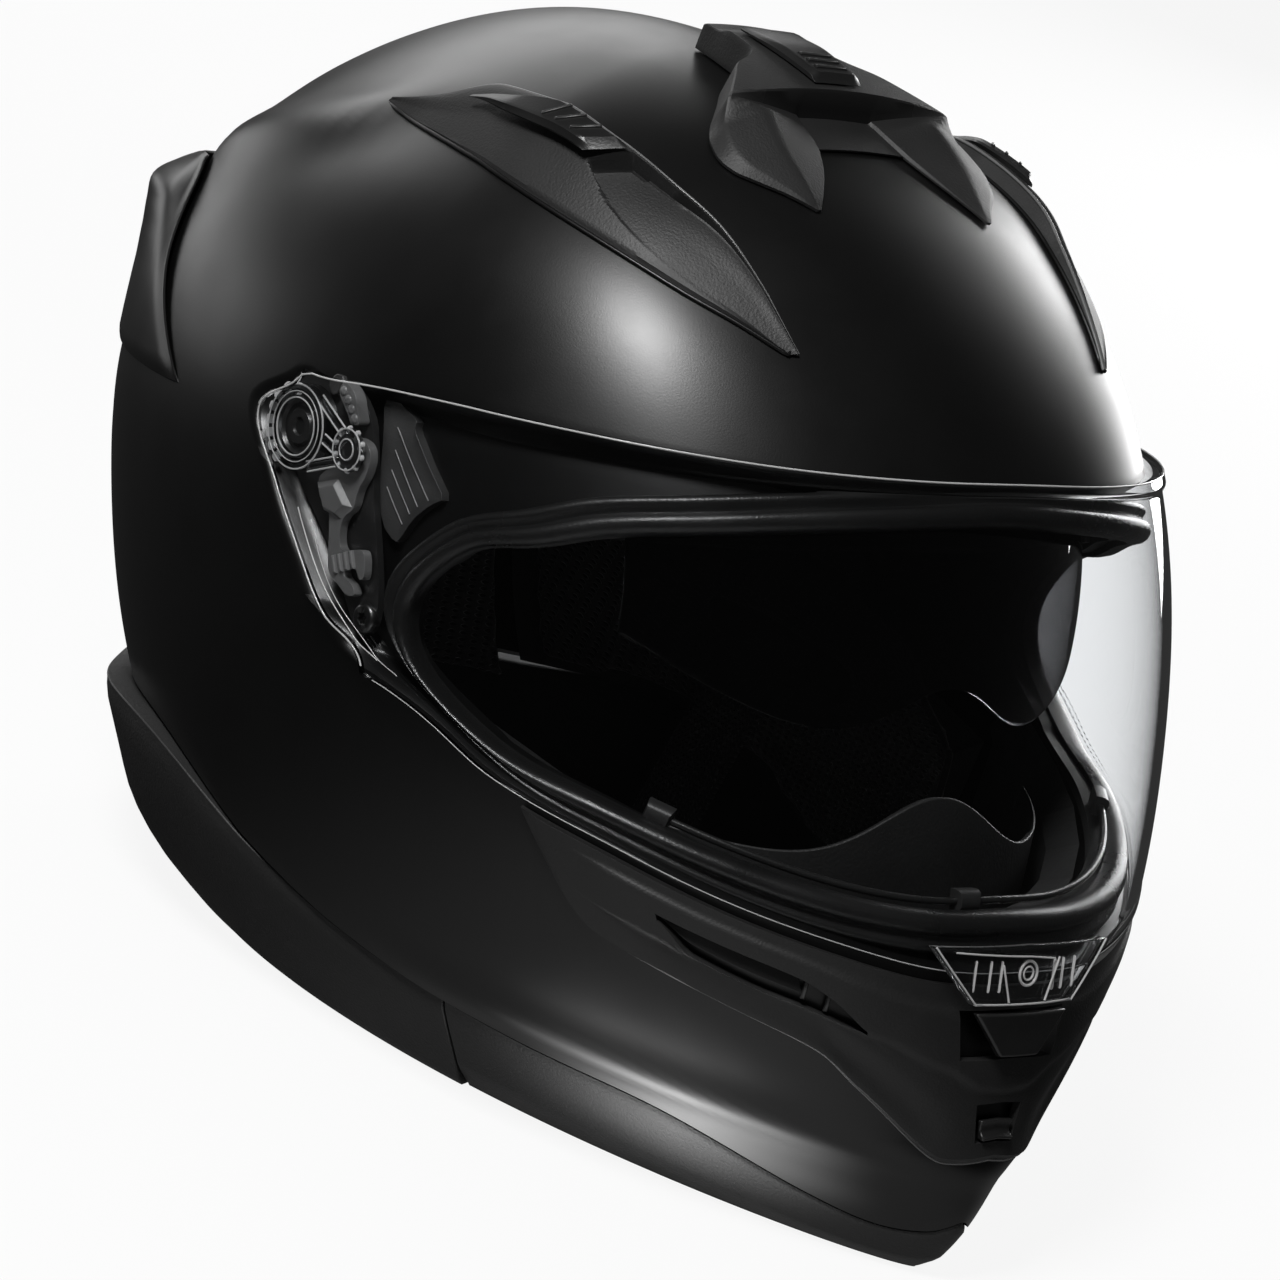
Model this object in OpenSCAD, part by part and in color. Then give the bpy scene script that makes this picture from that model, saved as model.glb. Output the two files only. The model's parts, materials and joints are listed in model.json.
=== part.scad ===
// Full-face motorcycle helmet, modelled in millimetres.
// Frame: X to the wearer's left, the face looks along -Y, Z up, the rim rests on Z = 0.
// The outer surface is a stack of tilted sections; every panel is a slab laid on it,
// addressed by section number u (0 rim .. 11 crown) and side v (0 front, 1 side, 2 rear).

/* [Shell] */
// Width of the bare shell
shell_w = 244.3; // [225:0.1:262]
// Length of the bare shell
shell_l = 352; // [320:1:380]
// Height of the bare shell
shell_h = 258; // [240:1:275]
// Wall of the outer shell
shell_t = 4; // [2:0.5:6]
// Depth of the seat that the visor closes
seat_d = 8; // [6:0.5:10]

/* [Visor] */
// Thickness of the clear visor
visor_t = 2.4; // [1.5:0.1:3.5]
// Height of the visor's outer face over the shell surface
visor_h = 3.6; // [2.5:0.1:5]
// Pivot position, front to back
pivot_y = 2; // [-10:1:15]
// Pivot height
pivot_z = 153; // [140:1:165]
// Radius of the pivot boss
boss_r = 7; // [4:0.5:9]
// Running clearance of the pivot ring on its boss
run_c = 0.06; // [0.02:0.01:0.10]

/* [Vents] */
// Height of the top vent over the crown
top_vent_h = 9.5; // [5:0.5:12]
// Height of the brow vents over the brow
brow_vent_h = 6.5; // [4:0.5:11]
// Height of the rear spoiler lip
spoiler_h = 13; // [6:0.5:16]
// Height of the chin cover
chin_cover_h = 2.8; // [1.5:0.1:5]

/* [Lining] */
// Inner size of the foam liner as a share of the shell
liner_k = 0.80; // [0.76:0.01:0.84]
// Inner size of the pads as a share of the shell
pad_k = 0.735; // [0.68:0.005:0.76]
// Width of the chin strap webbing
strap_w = 24; // [18:1:28]

/* [Hidden] */
$fn = 48;
gx = shell_w/244.3; gy = shell_l/352; gz = shell_h/258;

// sections: height, tilt, front, rear, half width, widest y, then the fullness of the curve
ST = [
[  0,0.00,-176,102, 80,-4,.14,.48,.50,.60],
[ 14,0.00,-184,116, 92,-4,.18,.48,.50,.60],
[ 32,0.00,-184,114,104,-2,.28,.50,.50,.60],
[ 60,0.00,-178,142,114, 0,.52,.60,.50,.60],
[ 92,0.00,-170,160,120, 0,.60,.62,.50,.60],
[125,0.04,-158,168,123, 0,.58,.62,.52,.62],
[157,0.08,-142,170,121, 0,.58,.62,.52,.62],
[190,0.12,-116,164,112, 0,.60,.62,.52,.60],
[220,0.14, -84,148, 96, 0,.60,.60,.55,.55],
[242,0.12, -48,116, 70, 5,.58,.58,.55,.55],
[255,0.06, -14, 74, 36,16,.55,.55,.55,.55],
[258,0.00,  22, 22,  0,22,.55,.55,.55,.55]];
nst = len(ST);
// end rows are reflected, the crown is mirrored so that it closes flat
l1 = ST[nst-1]; l2 = ST[nst-2];
TT = concat([2*ST[0]-ST[1]], ST,
  [[l2[0],-l2[1],2*l1[2]-l2[2],2*l1[3]-l2[3],-l2[4],2*l1[5]-l2[5],l2[6],l2[7],l2[8],l2[9]]]);

function clamp(x,a,b) = max(a,min(b,x));
function mixf(a,b,t) = a+(b-a)*t;
function sstep(a,b,x) = let(t=clamp((x-a)/(b-a),0,1)) t*t*(3-2*t);
function strow(u) = let(w=clamp(u,0,nst-1.00001), i=floor(w), x=w-i)
  (pow(1-x,3)*TT[i] + (3*x*x*x-6*x*x+4)*TT[i+1] + (-3*x*x*x+3*x*x+3*x+1)*TT[i+2] + x*x*x*TT[i+3])/6;
function bz(a,b,c,d,t) = let(s=1-t) s*s*s*a+3*s*s*t*b+3*s*t*t*c+t*t*t*d;
function wrapv(v) = v>2 ? v-4 : v<-2 ? v+4 : v;
function S(u,vv) = let(w=wrapv(vv), v=abs(w), m=strow(u), f=v<=1, t=f?v:v-1,
    sx=f?bz(0,m[6],1,1,t):bz(1,1,m[9],0,t), ly=f?bz(1,1,m[7],0,t):bz(0,m[8],1,1,t),
    y=m[5]+((f?m[2]:m[3])-m[5])*ly)
  [(w<0?1:-1)*m[4]*sx*gx, y*gy, (m[0]-m[1]*y)*gz];
function unit(a) = a/max(norm(a),1e-9);
function N(u,v) = u>10.9 ? [0,0,1] : unit(cross(S(u+.02,v)-S(u-.02,v), S(u,v+.02)-S(u,v-.02)));
function P(u,v,h) = S(u,v)+h*N(u,v);
// offset over the formed shell
function PF(u,v,h) = P(u,v,h+form(u,v));
// offset that stays level, for everything that reaches the table
function PH(u,v,h) = let(n=N(max(u,.03),v)) S(u,v)+h*unit([n[0],n[1],0]);
// inner surfaces are the shell drawn in about the head
function I(u,v,k) = let(p=S(u,v)) [p[0]*k, 8*gy+(p[1]-8*gy)*k, p[2]*(0.40+0.60*k)];

// plan position on the crown, found by halving
function vat(u,y,a,b,n) = let(m=(a+b)/2) n==0 ? m : S(u,m)[1] < y ? vat(u,y,m,b,n-1) : vat(u,y,a,m,n-1);
function uat(x,y,a,b,n) = let(m=(a+b)/2, q=strow(m), inr = y > q[2]*gy && y < q[3]*gy && abs(S(m,vat(m,y,0,2,9))[0]) > abs(x))
   n==0 ? m : inr ? uat(x,y,m,b,n-1) : uat(x,y,a,m,n-1);

// control net of the shell: each row is a line of [v,u] from the front to the rear
NET = [
[[0,1.22],[.11,.97],[.22,.86],[.33,1.05],[.50,1.55],[.67,1.68],[.85,1.93],[1.20,2.75],[1.60,2.45],[2,2.4]],
[[0,2.60],[.13,2.55],[.26,2.50],[.39,2.60],[.53,2.80],[.68,2.95],[.85,3.15],[1.25,3.50],[1.63,3.30],[2,3.3]],
[[0,3.70],[.13,3.70],[.27,3.79],[.41,3.89],[.54,4.01],[.68,4.13],[.85,4.40],[1.30,4.40],[1.65,4.30],[2,4.3]],
[[0,4.07],[.13,4.05],[.27,4.07],[.42,4.13],[.56,4.21],[.70,4.29],[.91,4.70],[1.30,4.75],[1.65,4.70],[2,4.7]],
[[0,4.75],[.16,4.72],[.33,4.70],[.49,4.68],[.65,4.65],[.815,4.62],[.95,4.97],[1.30,5.05],[1.65,5.00],[2,5.0]],
[[0,5.60],[.16,5.58],[.33,5.52],[.49,5.42],[.65,5.30],[.825,5.15],[1.01,5.40],[1.30,5.40],[1.65,5.40],[2,5.4]],
[[0,6.52],[.15,6.47],[.31,6.36],[.46,6.20],[.60,6.00],[.77,5.65],[1.065,5.87],[1.32,5.80],[1.66,5.80],[2,5.8]],
[[0,6.70],[.17,6.68],[.34,6.65],[.50,6.62],[.66,6.58],[.82,6.52],[1.03,6.42],[1.33,6.40],[1.66,6.40],[2,6.4]],
[[0,7.60],[.17,7.60],[.34,7.60],[.50,7.60],[.66,7.60],[.83,7.60],[1.04,7.60],[1.35,7.60],[1.68,7.60],[2,7.6]],
[[0,8.70],[.17,8.70],[.34,8.70],[.50,8.70],[.66,8.70],[.83,8.70],[1.04,8.70],[1.35,8.70],[1.68,8.70],[2,8.7]],
[[0,9.90],[.17,9.90],[.34,9.90],[.50,9.90],[.66,9.90],[.83,9.90],[1.04,9.90],[1.35,9.90],[1.68,9.90],[2,9.9]],
[[0,11],[.17,11],[.34,11],[.50,11],[.66,11],[.83,11],[1.04,11],[1.35,11],[1.68,11],[2,11]]];
function nrow(r,q) = let(c=clamp(q,0,8.99999), i=floor(c)) mixf(NET[r][i],NET[r][i+1],c-i);
function net(r,q) = let(c=clamp(r,0,10.99999), i=floor(c), a=mixf(nrow(i,abs(q)),nrow(i+1,abs(q)),c-i))
  [q<0?-a[0]:a[0], a[1]];
function seat(r,q) = r>2.1 && r<6.9 && abs(q)<6 ? 1 : 0;
// soft ridge of the crown and the lower edge of the chin bar
function form(u,v) = let(a=abs(v))
   3*exp(-pow((u-8.4+(a-1.22)*2.6)/.35,2))*sstep(1.15,1.3,a)*(1-sstep(1.55,1.75,a))
   + 1.6*exp(-pow((u-2.0)/.22,2))*(1-sstep(.7,.85,a));
function hshell(r,q) = let(n=net(r,q)) seat(r,q)==1 ? -seat_d : form(n[1],n[0]);
function OP(r,q,h) = let(n=net(r,q)) P(n[1],n[0],h);
function IP(r,q,k) = let(n=net(r,q)) I(n[1],n[0],k);

// closed slab between two point grids; gone(i,j) cells make the openings
module slab(A, B, nr, nc, wrap=false, pole=false, holes=[]) {
  np = nr*nc;
  nj = wrap ? nc : nc-1;
  ex = function(i,j) i>=0 && i<nr-1 && (wrap || (j>=0 && j<nj)) && len([for (h=holes) if (i>=h[0] && i<h[1] && j>=h[2] && j<h[3]) 1])==0;
  id = function(i,j) (pole && i==nr-1) ? i*nc : i*nc + (wrap ? (j+nc)%nc : j);
  cells = [for (i=[0:nr-2], j=[0:nj-1]) if (ex(i,j)) [i,j]];
  faces = [for (c=cells) let(i=c[0], j=c[1], p=id(i,j), s=id(i,j+1), t=id(i+1,j+1), w=id(i+1,j), jm=wrap?(j-1+nc)%nc:j-1, jp=wrap?(j+1)%nc:j+1)
    each concat(
      [[p,s,t], [np+t,np+s,np+p]],
      (t!=w) ? [[p,t,w], [np+w,np+t,np+p]] : [],
      ex(i-1,j) ? [] : [[p,np+p,np+s],[p,np+s,s]],
      (ex(i+1,j) || t==w) ? [] : [[w,t,np+t],[w,np+t,np+w]],
      ex(i,jm) ? [] : [[p,w,np+w],[p,np+w,np+p]],
      ex(i,jp) ? [] : [[s,np+s,np+t],[s,np+t,t]])];
  polyhedron(points=concat(A,B), faces=faces, convexity=12);
}
module netslab(rows, cols, fo, fi, wrap=false, pole=false, holes=[])
  slab([for (r=rows, q=cols) fo(r,q)], [for (r=rows, q=cols) fi(r,q)], len(rows), len(cols), wrap, pole, holes);
function steps(a,b,n) = [for (i=[0:n]) a+(b-a)*i/n];
function mirr(c) = concat([for (i=[len(c)-1:-1:1]) -c[i]], c);

// bare shell
SR = [0,.5,1,1.5,2,2.2,3,3.5,4,4.5,5,5.5,6,6.8,7,7.35,7.7,8,8.35,8.7,9,9.5,10,10.5,11];
SC = [0,.5,1,1.5,2,2.5,3,3.5,4,4.5,5,5.96,6.13,6.3,6.5,6.75,7,7.25,7.5,7.75,8,8.25,8.5,8.75,9];
SCF = let(m=mirr(SC)) [for (i=[1:len(m)-1]) m[i]];
module outer_shell() color([.13,.13,.14])
  netslab(SR, SCF, function(r,q) OP(r,q,hshell(r,q)), function(r,q) OP(r,q,-shell_t-(seat(r,q)==1?seat_d:0)),
    true, true, [[6,12,13,33]]);

// rubber gasket round the eyeport
function eyeloop(f,g) =
  concat([for (q=[-5:.5:5]) let(a=net(3,q), b=net(2,q)) mixf(a,b,abs(q)>4.9?(f+g)/2:f)],
         [for (r=[3.5:.5:5.5]) let(a=net(r,5), b=net(r,6)) mixf(a,b,g)],
         [for (q=[5:-.5:-5]) let(a=net(6,q), b=net(7,q)) mixf(a,b,abs(q)>4.9?(f+g)/2:f)],
         [for (r=[5.5:-.5:3.5]) let(a=net(r,-5), b=net(r,-6)) mixf(a,b,g)]);
module ring(f0,f1,g1,h0,h1) {
  La = eyeloop(f0,f0); Lb = eyeloop(f1,g1); n = len(La);
  pts = concat([for (p=La) P(p[1],p[0],h1)], [for (p=Lb) P(p[1],p[0],h1)], [for (p=Lb) P(p[1],p[0],h0)], [for (p=La) P(p[1],p[0],h0)]);
  polyhedron(points=pts, faces=[for (k=[0:3], j=[0:n-1]) let(a=k*n+j, b=k*n+(j+1)%n, c=((k+1)%4)*n+(j+1)%n, d=((k+1)%4)*n+j) each [[a,c,b],[a,d,c]]], convexity=8);
}
module eyeport_gasket() color([.08,.08,.08]) ring(-.05,.45,.2,-seat_d+.9,-.8);

// clear visor; near the pivots it runs flat so that it turns clear of the shell
px = (122.6+visor_t)*gx;
function vis(r,q,h,t) = let(p=OP(r,q,h), d=norm([p[1]-pivot_y,p[2]-pivot_z]), w=1-sstep(26,58,d)) abs(p[0])<60 ? p : [sign(p[0])*mixf(abs(p[0]),px-t,w), p[1], p[2]];
VC = [0,1,2,3,4,4.5,5,5.25,5.5,5.75,6];
module visor() color([.75,.85,.9,.5])
  netslab([2.03,2.5,3,3.5,4,4.5,5,5.5,6,6.5,6.97], mirr(VC), function(r,q) vis(r,q,visor_h,0), function(r,q) vis(r,q,visor_h-visor_t,visor_t));

// side parts are written for the right side and mirrored
module both_x() { children(); mirror([1,0,0]) children(); }
module left() mirror([1,0,0]) children();
fx = px - visor_t;                 // inner face of the visor at the pivots
bx = 116.7*gx;                     // outer face of the base plates there
module visor_ring() color([.7,.8,.85,.6]) translate([-fx+.1,pivot_y,pivot_z]) rotate([0,90,0]) difference() {
  union() { cylinder(r=11, h=fx-bx-.7); translate([0,0,3.2]) cylinder(r=13.2, h=1.6); }
  translate([0,0,-1]) cylinder(r=boss_r+run_c, h=30);
}
module visor_pivot_ring_right() visor_ring();
module visor_pivot_ring_left() left() visor_ring();
module boss() color([.2,.2,.2]) translate([-fx+.5,pivot_y,pivot_z]) rotate([0,90,0]) cylinder(r=boss_r, h=fx-bx-.5);
module pivot_boss_right() boss();
module pivot_boss_left() left() boss();
// base plate lies flat on the seat
BP = [[12.5,3],[10.5,10.5],[3,15],[-8,16.5],[-21,12],[-29,3],[-34,-8],[-38,-18],[-42,-29],[-42.5,-37],[-38,-40.5],[-32,-37],[-24,-29],[-15,-22.5],[-5,-17],[1,-13],[9,-6]];
module yz(x0,h) translate([x0,0,0]) rotate([90,0,90]) linear_extrude(h) children();
module base_plate() color([.17,.17,.17]) yz(-bx,2) difference() {
  translate([pivot_y,pivot_z]) polygon(BP);
  translate([-37,118]) circle(r=2.1);
}
module pivot_base_plate_right() base_plate();
module pivot_base_plate_left() left() base_plate();
module pivot_screws() color([.4,.4,.4]) both_x() translate([-bx,-37,118]) rotate([0,90,0]) difference() {
  union() { translate([0,0,-2]) cylinder(r=3.8, h=1.9); translate([0,0,-.2]) cylinder(r=2, h=5.4); }
  translate([0,0,-2.6]) cylinder(r=1.5, h=1.6, $fn=6);
}
// grey quick release lever under the visor, turning on its own pin
module lever() color([.5,.5,.5]) translate([-bx-4.2,pivot_y-22,pivot_z+1]) rotate([0,90,0]) difference() {
  union() {
    cylinder(r=5.2, h=3.8);
    translate([0,0,0]) linear_extrude(3.8) polygon([[0,-5],[4,-5.5],[15,-1.5],[25,-3],[31,-1],[30,3],[24,2],[17,5],[9,5.5],[0,5]]);
  }
  translate([0,0,-1]) cylinder(r=2.56, h=8);
}
module release_lever_right() lever();
module release_lever_left() left() lever();
module lever_pins() color([.3,.3,.3]) both_x() translate([-bx-5.2,pivot_y-22,pivot_z+1]) rotate([0,90,0]) { cylinder(r=2.5, h=5.2); cylinder(r=3.8, h=.8); }
// grey toothed rack above the ring
module rack() color([.55,.55,.55]) yz(-bx-3.6,3.3) difference() {
  translate([pivot_y,pivot_z]) polygon([[-8,16.8],[-1,17.5],[-4,14.9],[-8.5,13],[-14,8.8],[-17.5,8.2],[-24.5,8.4],[-21,13.5],[-15,16]]);
  translate([pivot_y-16,pivot_z+12]) circle(r=1.3);
}
module detent_rack_right() rack();
module detent_rack_left() left() rack();
// lock tab on the visor, lock stud and push button on the chin
module visor_lock_tab() color([.75,.85,.9,.6])
  slab([for (b=[0:.25:1], a=[-1:.25:1]) let(v=a*mixf(.085,.15,b), u=mixf(3.50,3.93-.03*abs(a),b)) P(u,v,visor_h+.3+2.4)],
       [for (b=[0:.25:1], a=[-1:.25:1]) let(v=a*mixf(.085,.15,b), u=mixf(3.50,3.93-.03*abs(a),b)) P(u,v,visor_h+.3)], 5, 9);
module visor_lock_button() color([.2,.2,.2])
  slab([for (b=steps(0,1,4), a=[-1:.5:1]) P(mixf(3.10,3.44,b), a*mixf(.035,.08,b), 6.8)],
       [for (b=steps(0,1,4), a=[-1:.5:1]) P(mixf(3.10,3.44,b), a*mixf(.035,.08,b), 4.2)], 5, 5);

// chin bar cover with its two side inlets and its centre slider
CB = [[0,.0,2.15],[.2,.11,2.10],[.4,.24,2.66],[.5,.29,2.92],[.65,.40,3.10],[.8,.49,3.22],[.92,.56,3.34],[1,.62,3.75]];
function tab(T,x,k) = lookup(x,[for (t=T) [t[0],t[k]]]);
function r2u(v) = lookup(v,[for (p=NET[2]) [p[0],p[1]]]);
function chin(a,b) = let(c=abs(a), v0=tab(CB,c,1), u0=tab(CB,c,2), v1=.65*c, u1=r2u(v1)-.07) [sign(a)*mixf(v0,v1,b), mixf(u0,u1,b)];
function CH(a,b,h) = let(n=chin(a,b)) PF(n[1],n[0],h);
// the cover is built round the two side slots and the centre intake
CA = [-1,-.92,-.85,-.76,-.65,-.55,-.46,-.4,-.3,-.21,-.15,-.09,0,.09,.15,.21,.3,.4,.46,.55,.65,.76,.85,.92,1];
CHB = [0,.12,.24,.36,.48,.62,.75,.88,1];
function covh(a,b) = chin_cover_h*(b<.01||abs(a)>.99 ? .6 : 1);
module chin_cover() color([.2,.2,.2])
  slab([for (b=CHB, a=CA) CH(a,b,covh(a,b))], [for (b=CHB, a=CA) CH(a,b,.5)], len(CHB), len(CA), false, false,
    [[5,6,3,7],[5,6,17,21],[1,3,11,13],[5,7,10,14]]);
module inlet(s) color([.1,.1,.1]) let(aa=[for (k=[0:6]) s>0 ? mixf(.42,.74,k/6) : -mixf(.74,.42,k/6)])
  slab([for (b=[.64,.685,.73], a=aa) CH(a,b,1.9)], [for (b=[.64,.685,.73], a=aa) CH(a,b,.5)], 3, 7);
module chin_inlet_grille_right() inlet(1);
module chin_inlet_grille_left() inlet(-1);
module chin_vent_slider() color([.25,.25,.25])
  slab([for (b=[.14,.2,.26], a=[-.07,0,.07]) CH(a,b,chin_cover_h+1.2)], [for (b=[.14,.2,.26], a=[-.07,0,.07]) CH(a,b,1.4)], 3, 3);

// rim trims; their foot is the rest face
function r0u(v) = lookup(v,[for (p=NET[0]) [p[0],p[1]]]);
RV = [0,.05,.11,.16,.22,.28,.33,.42,.5,.6,.67,.73];
module front_rim() color([.3,.3,.3]) let(bb=[0,.18,.5,.8,1], vv=mirr(RV))
  slab([for (b=bb, v=vv) PH(b*(r0u(abs(v))-.05),v,b==0?-1.5:0)],
       [for (b=bb, v=vv) PH(b*(r0u(abs(v))-.05),v,-mixf(9,4,b))], len(bb), len(vv));
KV = [.745,.85,.95,1.05,1.15,1.25,1.35,1.45,1.6,1.8,2];
function kh(v,b) = 9*sstep(.85,1.4,v)*lookup(b,[[0,.25],[.3,.8],[.6,1],[1,.95]]);
module rear_collar() color([.22,.22,.22]) let(bb=[0,.15,.4,.7,1], vv=concat(KV,[for (i=[len(KV)-2:-1:0]) 4-KV[i]]))
  slab([for (b=bb, v=vv) let(a=v>2?4-v:v) PH(b*(r0u(a)-.05),v,kh(a,b)-(b==0?1:0))],
       [for (b=bb, v=vv) let(a=v>2?4-v:v) PH(b*(r0u(a)-.05),v,-mixf(9,4,b))], len(bb), len(vv));

// rear spoiler with the extractor
SPT = [[0,1.24,5.6],[.2,1.33,6.0],[.35,1.39,6.3],[.8,1.52,7.0],[1,1.58,7.2]];
function spo(a,b) = let(c=abs(a), ve=tab(SPT,b,1), us=tab(SPT,b,2), ur=mixf(5.2,7.0,b), v=2-(2-ve)*c) [a>0?v:4-v, mixf(ur,us,pow(c,2))];
SPH = [[0,.02],[.2,.05],[.35,.14],[.5,.4],[.62,.72],[.72,.97],[.86,.6],[1,.08]];  // ridge height along the spoiler's sides
SPC = [[0,.02],[.2,.05],[.35,.14],[.5,.4],[.62,.72],[.72,.97],[.86,1],[1,1]];     // and over its open middle
function sph(a,b) = let(c=abs(a)) 2.8+(c>.97?0:(spoiler_h-2.8)*mixf(lookup(b,SPC),lookup(b,SPH),clamp((c-.15)/.27,0,1))*(1-pow(c,6)));
module rear_spoiler() color([.16,.16,.17]) let(bb=[0,.1,.2,.35,.5,.62,.72,.86,1], aa=[1,.97,.9,.8,.65,.5,.4,.28,.15,0,-.15,-.28,-.4,-.5,-.65,-.8,-.9,-.97,-1])
  slab([for (b=bb, a=aa) let(n=spo(a,b)) PF(n[1],n[0],sph(a,b))], [for (b=bb, a=aa) let(n=spo(a,b)) PF(n[1],n[0],2)], len(bb), len(aa));

// top vent: plan outline laid on the crown, its mouth open to the front between two prongs
TV = [[17,13,4],[11,13.6,4],[4,14.3,5],[-3,15,5],[-7,19,6],[-11,27,7],[-17,33,9],[-23,39,12],[-26,42,13],[-32,46,14],[-38.5,47.6,15.5],[-43,46.5,17.5],[-48,42.5,20.5],[-54,36.5,25],[-60,31.2,30]];
function cr(x,y,h) = let(u=uat(abs(x),y,6.5,10.95,11), v=vat(u,y,0,2,11), p=S(u,v), n=N(u,v)) [x+(x<0?-1:1)*abs(n[0])*h, y+n[1]*h, p[2]+n[2]*h];
function tvx(k) = let(o=k[1], i=k[2], w=o-i) [o, o-.12*w, i+.45*w, i, i/2, 0, -i/2, -i, -i-.45*w, -o+.12*w, -o];
function tvh(i,j) = let(y=TV[i][0], side=j==0||j==10, lip=j==3||j==7, mid=j>3&&j<7)
   side||i==0 ? 1.3 : y>-24.5 ? top_vent_h*(i<2?.8:1) : mid ? mixf(2,1,clamp((-26-y)/12,0,1)) : lip ? mixf(2.4,1.1,clamp((-26-y)/34,0,1)) : mixf(top_vent_h,1.2,clamp((-26-y)/34,0,1));
module top_vent_cover() color([.2,.2,.2]) let(n=len(TV))
  slab([for (i=[n-1:-1:0]) let(x=tvx(TV[i])) for (j=[0:10]) cr(x[j],TV[i][0],tvh(i,j))],
       [for (i=[n-1:-1:0]) let(x=tvx(TV[i])) for (j=[0:10]) cr(x[j],TV[i][0],.5)], n, 11, false, false, [[0,4,3,7]]);
module top_vent_slider() color([.28,.28,.28]) let(yy=[-22,-17,-11,-5,1,6], n=6)
  slab([for (i=[0:n-1], k=[-2:2]) cr(-k*mixf(4,5,i/5),yy[i], top_vent_h+2.6)],
       [for (i=[0:n-1], k=[-2:2]) cr(-k*mixf(4,5,i/5),yy[i], top_vent_h+.5)], n, 5);

// brow vents
BL = [[0,1.235,8.44],[.13,1.09,8.37],[.25,.96,8.27],[.38,.82,8.13],[.5,.70,7.98],[.62,.60,7.83],[.75,.51,7.68],[.88,.42,7.53],[1,.345,7.37]];
BT = [[0,1.225,8.47],[.13,1.15,8.68],[.25,1.06,8.93],[.38,.90,8.95],[.5,.70,8.73],[.62,.56,8.45],[.75,.46,8.2],[.88,.39,7.85],[1,.330,7.38]];
function bro(a,b) = [mixf(tab(BL,a,1),tab(BT,a,1),b), mixf(tab(BL,a,2),tab(BT,a,2),b)];
function brh(a,b) = let(e=lookup(a,[[0,.2],[.12,.55],[.3,1],[.55,1],[.75,.62],[.9,.3],[1,.12]]))
   1.0+(brow_vent_h-1)*e*lookup(b,[[0,0],[.5,.45],[.9,1],[1,.92]]) - ((a>.6&&a<.8&&b>.3&&b<.8)?brow_vent_h*.35:0);
module brow() color([.2,.2,.2]) let(bb=[0,.15,.35,.5,.65,.8,.92,1], aa=[0,.05,.12,.2,.3,.4,.5,.56,.62,.68,.75,.82,.9,.96,1])
  slab([for (b=bb, i=[len(aa)-1:-1:0]) let(n=bro(aa[i],b)) PF(n[1],n[0],brh(aa[i],b))],
       [for (b=bb, i=[len(aa)-1:-1:0]) let(n=bro(aa[i],b)) PF(n[1],n[0],.5)], len(bb), len(aa));
module brow_vent_cover_right() brow();
module brow_vent_cover_left() left() brow();
module brow_slide() color([.28,.28,.28]) let(bb=[.60,.74,.88], aa=[.20,.27,.34,.41,.48])
  slab([for (b=bb, i=[4:-1:0]) let(n=bro(aa[i],b)) PF(n[1],n[0],brow_vent_h+2.6)],
       [for (b=bb, i=[4:-1:0]) let(n=bro(aa[i],b)) PF(n[1],n[0],brow_vent_h+.7)], 3, 5);
module brow_vent_slider_right() brow_slide();
module brow_vent_slider_left() left() brow_slide();

// foam liner: arch of the crown and cheeks, open at the face
function pocket(r,q) = abs(q)<6.6 ? lookup(r,[[6.4,24],[7.7,24],[8.4,19],[9,16],[9.7,13],[10.3,6],[11,5]])*(1-sstep(6,6.6,abs(q)))+5*sstep(6,6.6,abs(q)) : 5;
function epsh(r,q) = r>6.3 ? max(pocket(r,q),5) : 5;
ER = [3,3.6,4.3,5,5.7,6.4,7,7.7,8.4,9,9.6,10.3,11];
EC = [0,1,2,3,4,4.6,5.3,6.1,6.6,7,7.4,7.8,8.2,8.6,9];
ECF = let(m=mirr(EC)) [for (i=[1:len(m)-1]) m[i]];
module eps_liner() color([.25,.25,.27]) netslab(ER, ECF, function(r,q) OP(r,q,-epsh(r,q)), function(r,q) IP(r,q,liner_k), true, true,
  [[0,5,5,21],[5,8,5,8],[5,8,18,21]]);
module chin_liner() color([.25,.25,.27]) netslab([.3,.9,1.5,2.1,2.7], steps(-5.3,5.3,14), function(r,q) OP(r,q,r>2.0?-14:-5.5), function(r,q) IP(r,q,.865));
module cheek_liner(s) color([.25,.25,.27]) netslab([.4,.8,1.2,1.6], [for (i=[0:6]) s*mixf(s>0?5.75:7.9,s>0?7.9:5.75,i/6)], function(r,q) OP(r,q,-11.5), function(r,q) IP(r,q,.82));
module cheek_liner_right() cheek_liner(1);
module cheek_liner_left() cheek_liner(-1);

// pads: soft solids with a crown of their own
function puff(a,b) = sin(180*clamp(a,0,1))*sin(180*clamp(b,0,1));
module crown_pad() color([.15,.15,.16]) netslab([4.6,5.4,6.6,7.4,8.2,9,9.8,10.5,11], ECF,
   function(r,q) IP(r,q,liner_k-.006), function(r,q) IP(r,q,pad_k+.012), true, true, [[0,2,5,21]]);
CR = [.55,1.1,1.6,2.2,2.9,3.6,4.3,4.45];
CC = [5.1,5.5,5.85,6.2,6.9,7.2,7.5,7.8];
module cheek(s) color([.15,.15,.16]) let(cc=[for (i=[0:7]) s>0?CC[i]:-CC[7-i]])
  netslab(CR, cc, function(r,q) IP(r,q,liner_k-.006), function(r,q) IP(r,q,pad_k-.05*puff((abs(q)-5.1)/2.7,(r-.55)/3.9)), false, false, [s>0?[2,3,3,4]:[2,3,3,4]]);
module cheek_pad_right() cheek(1);
module cheek_pad_left() cheek(-1);
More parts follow.
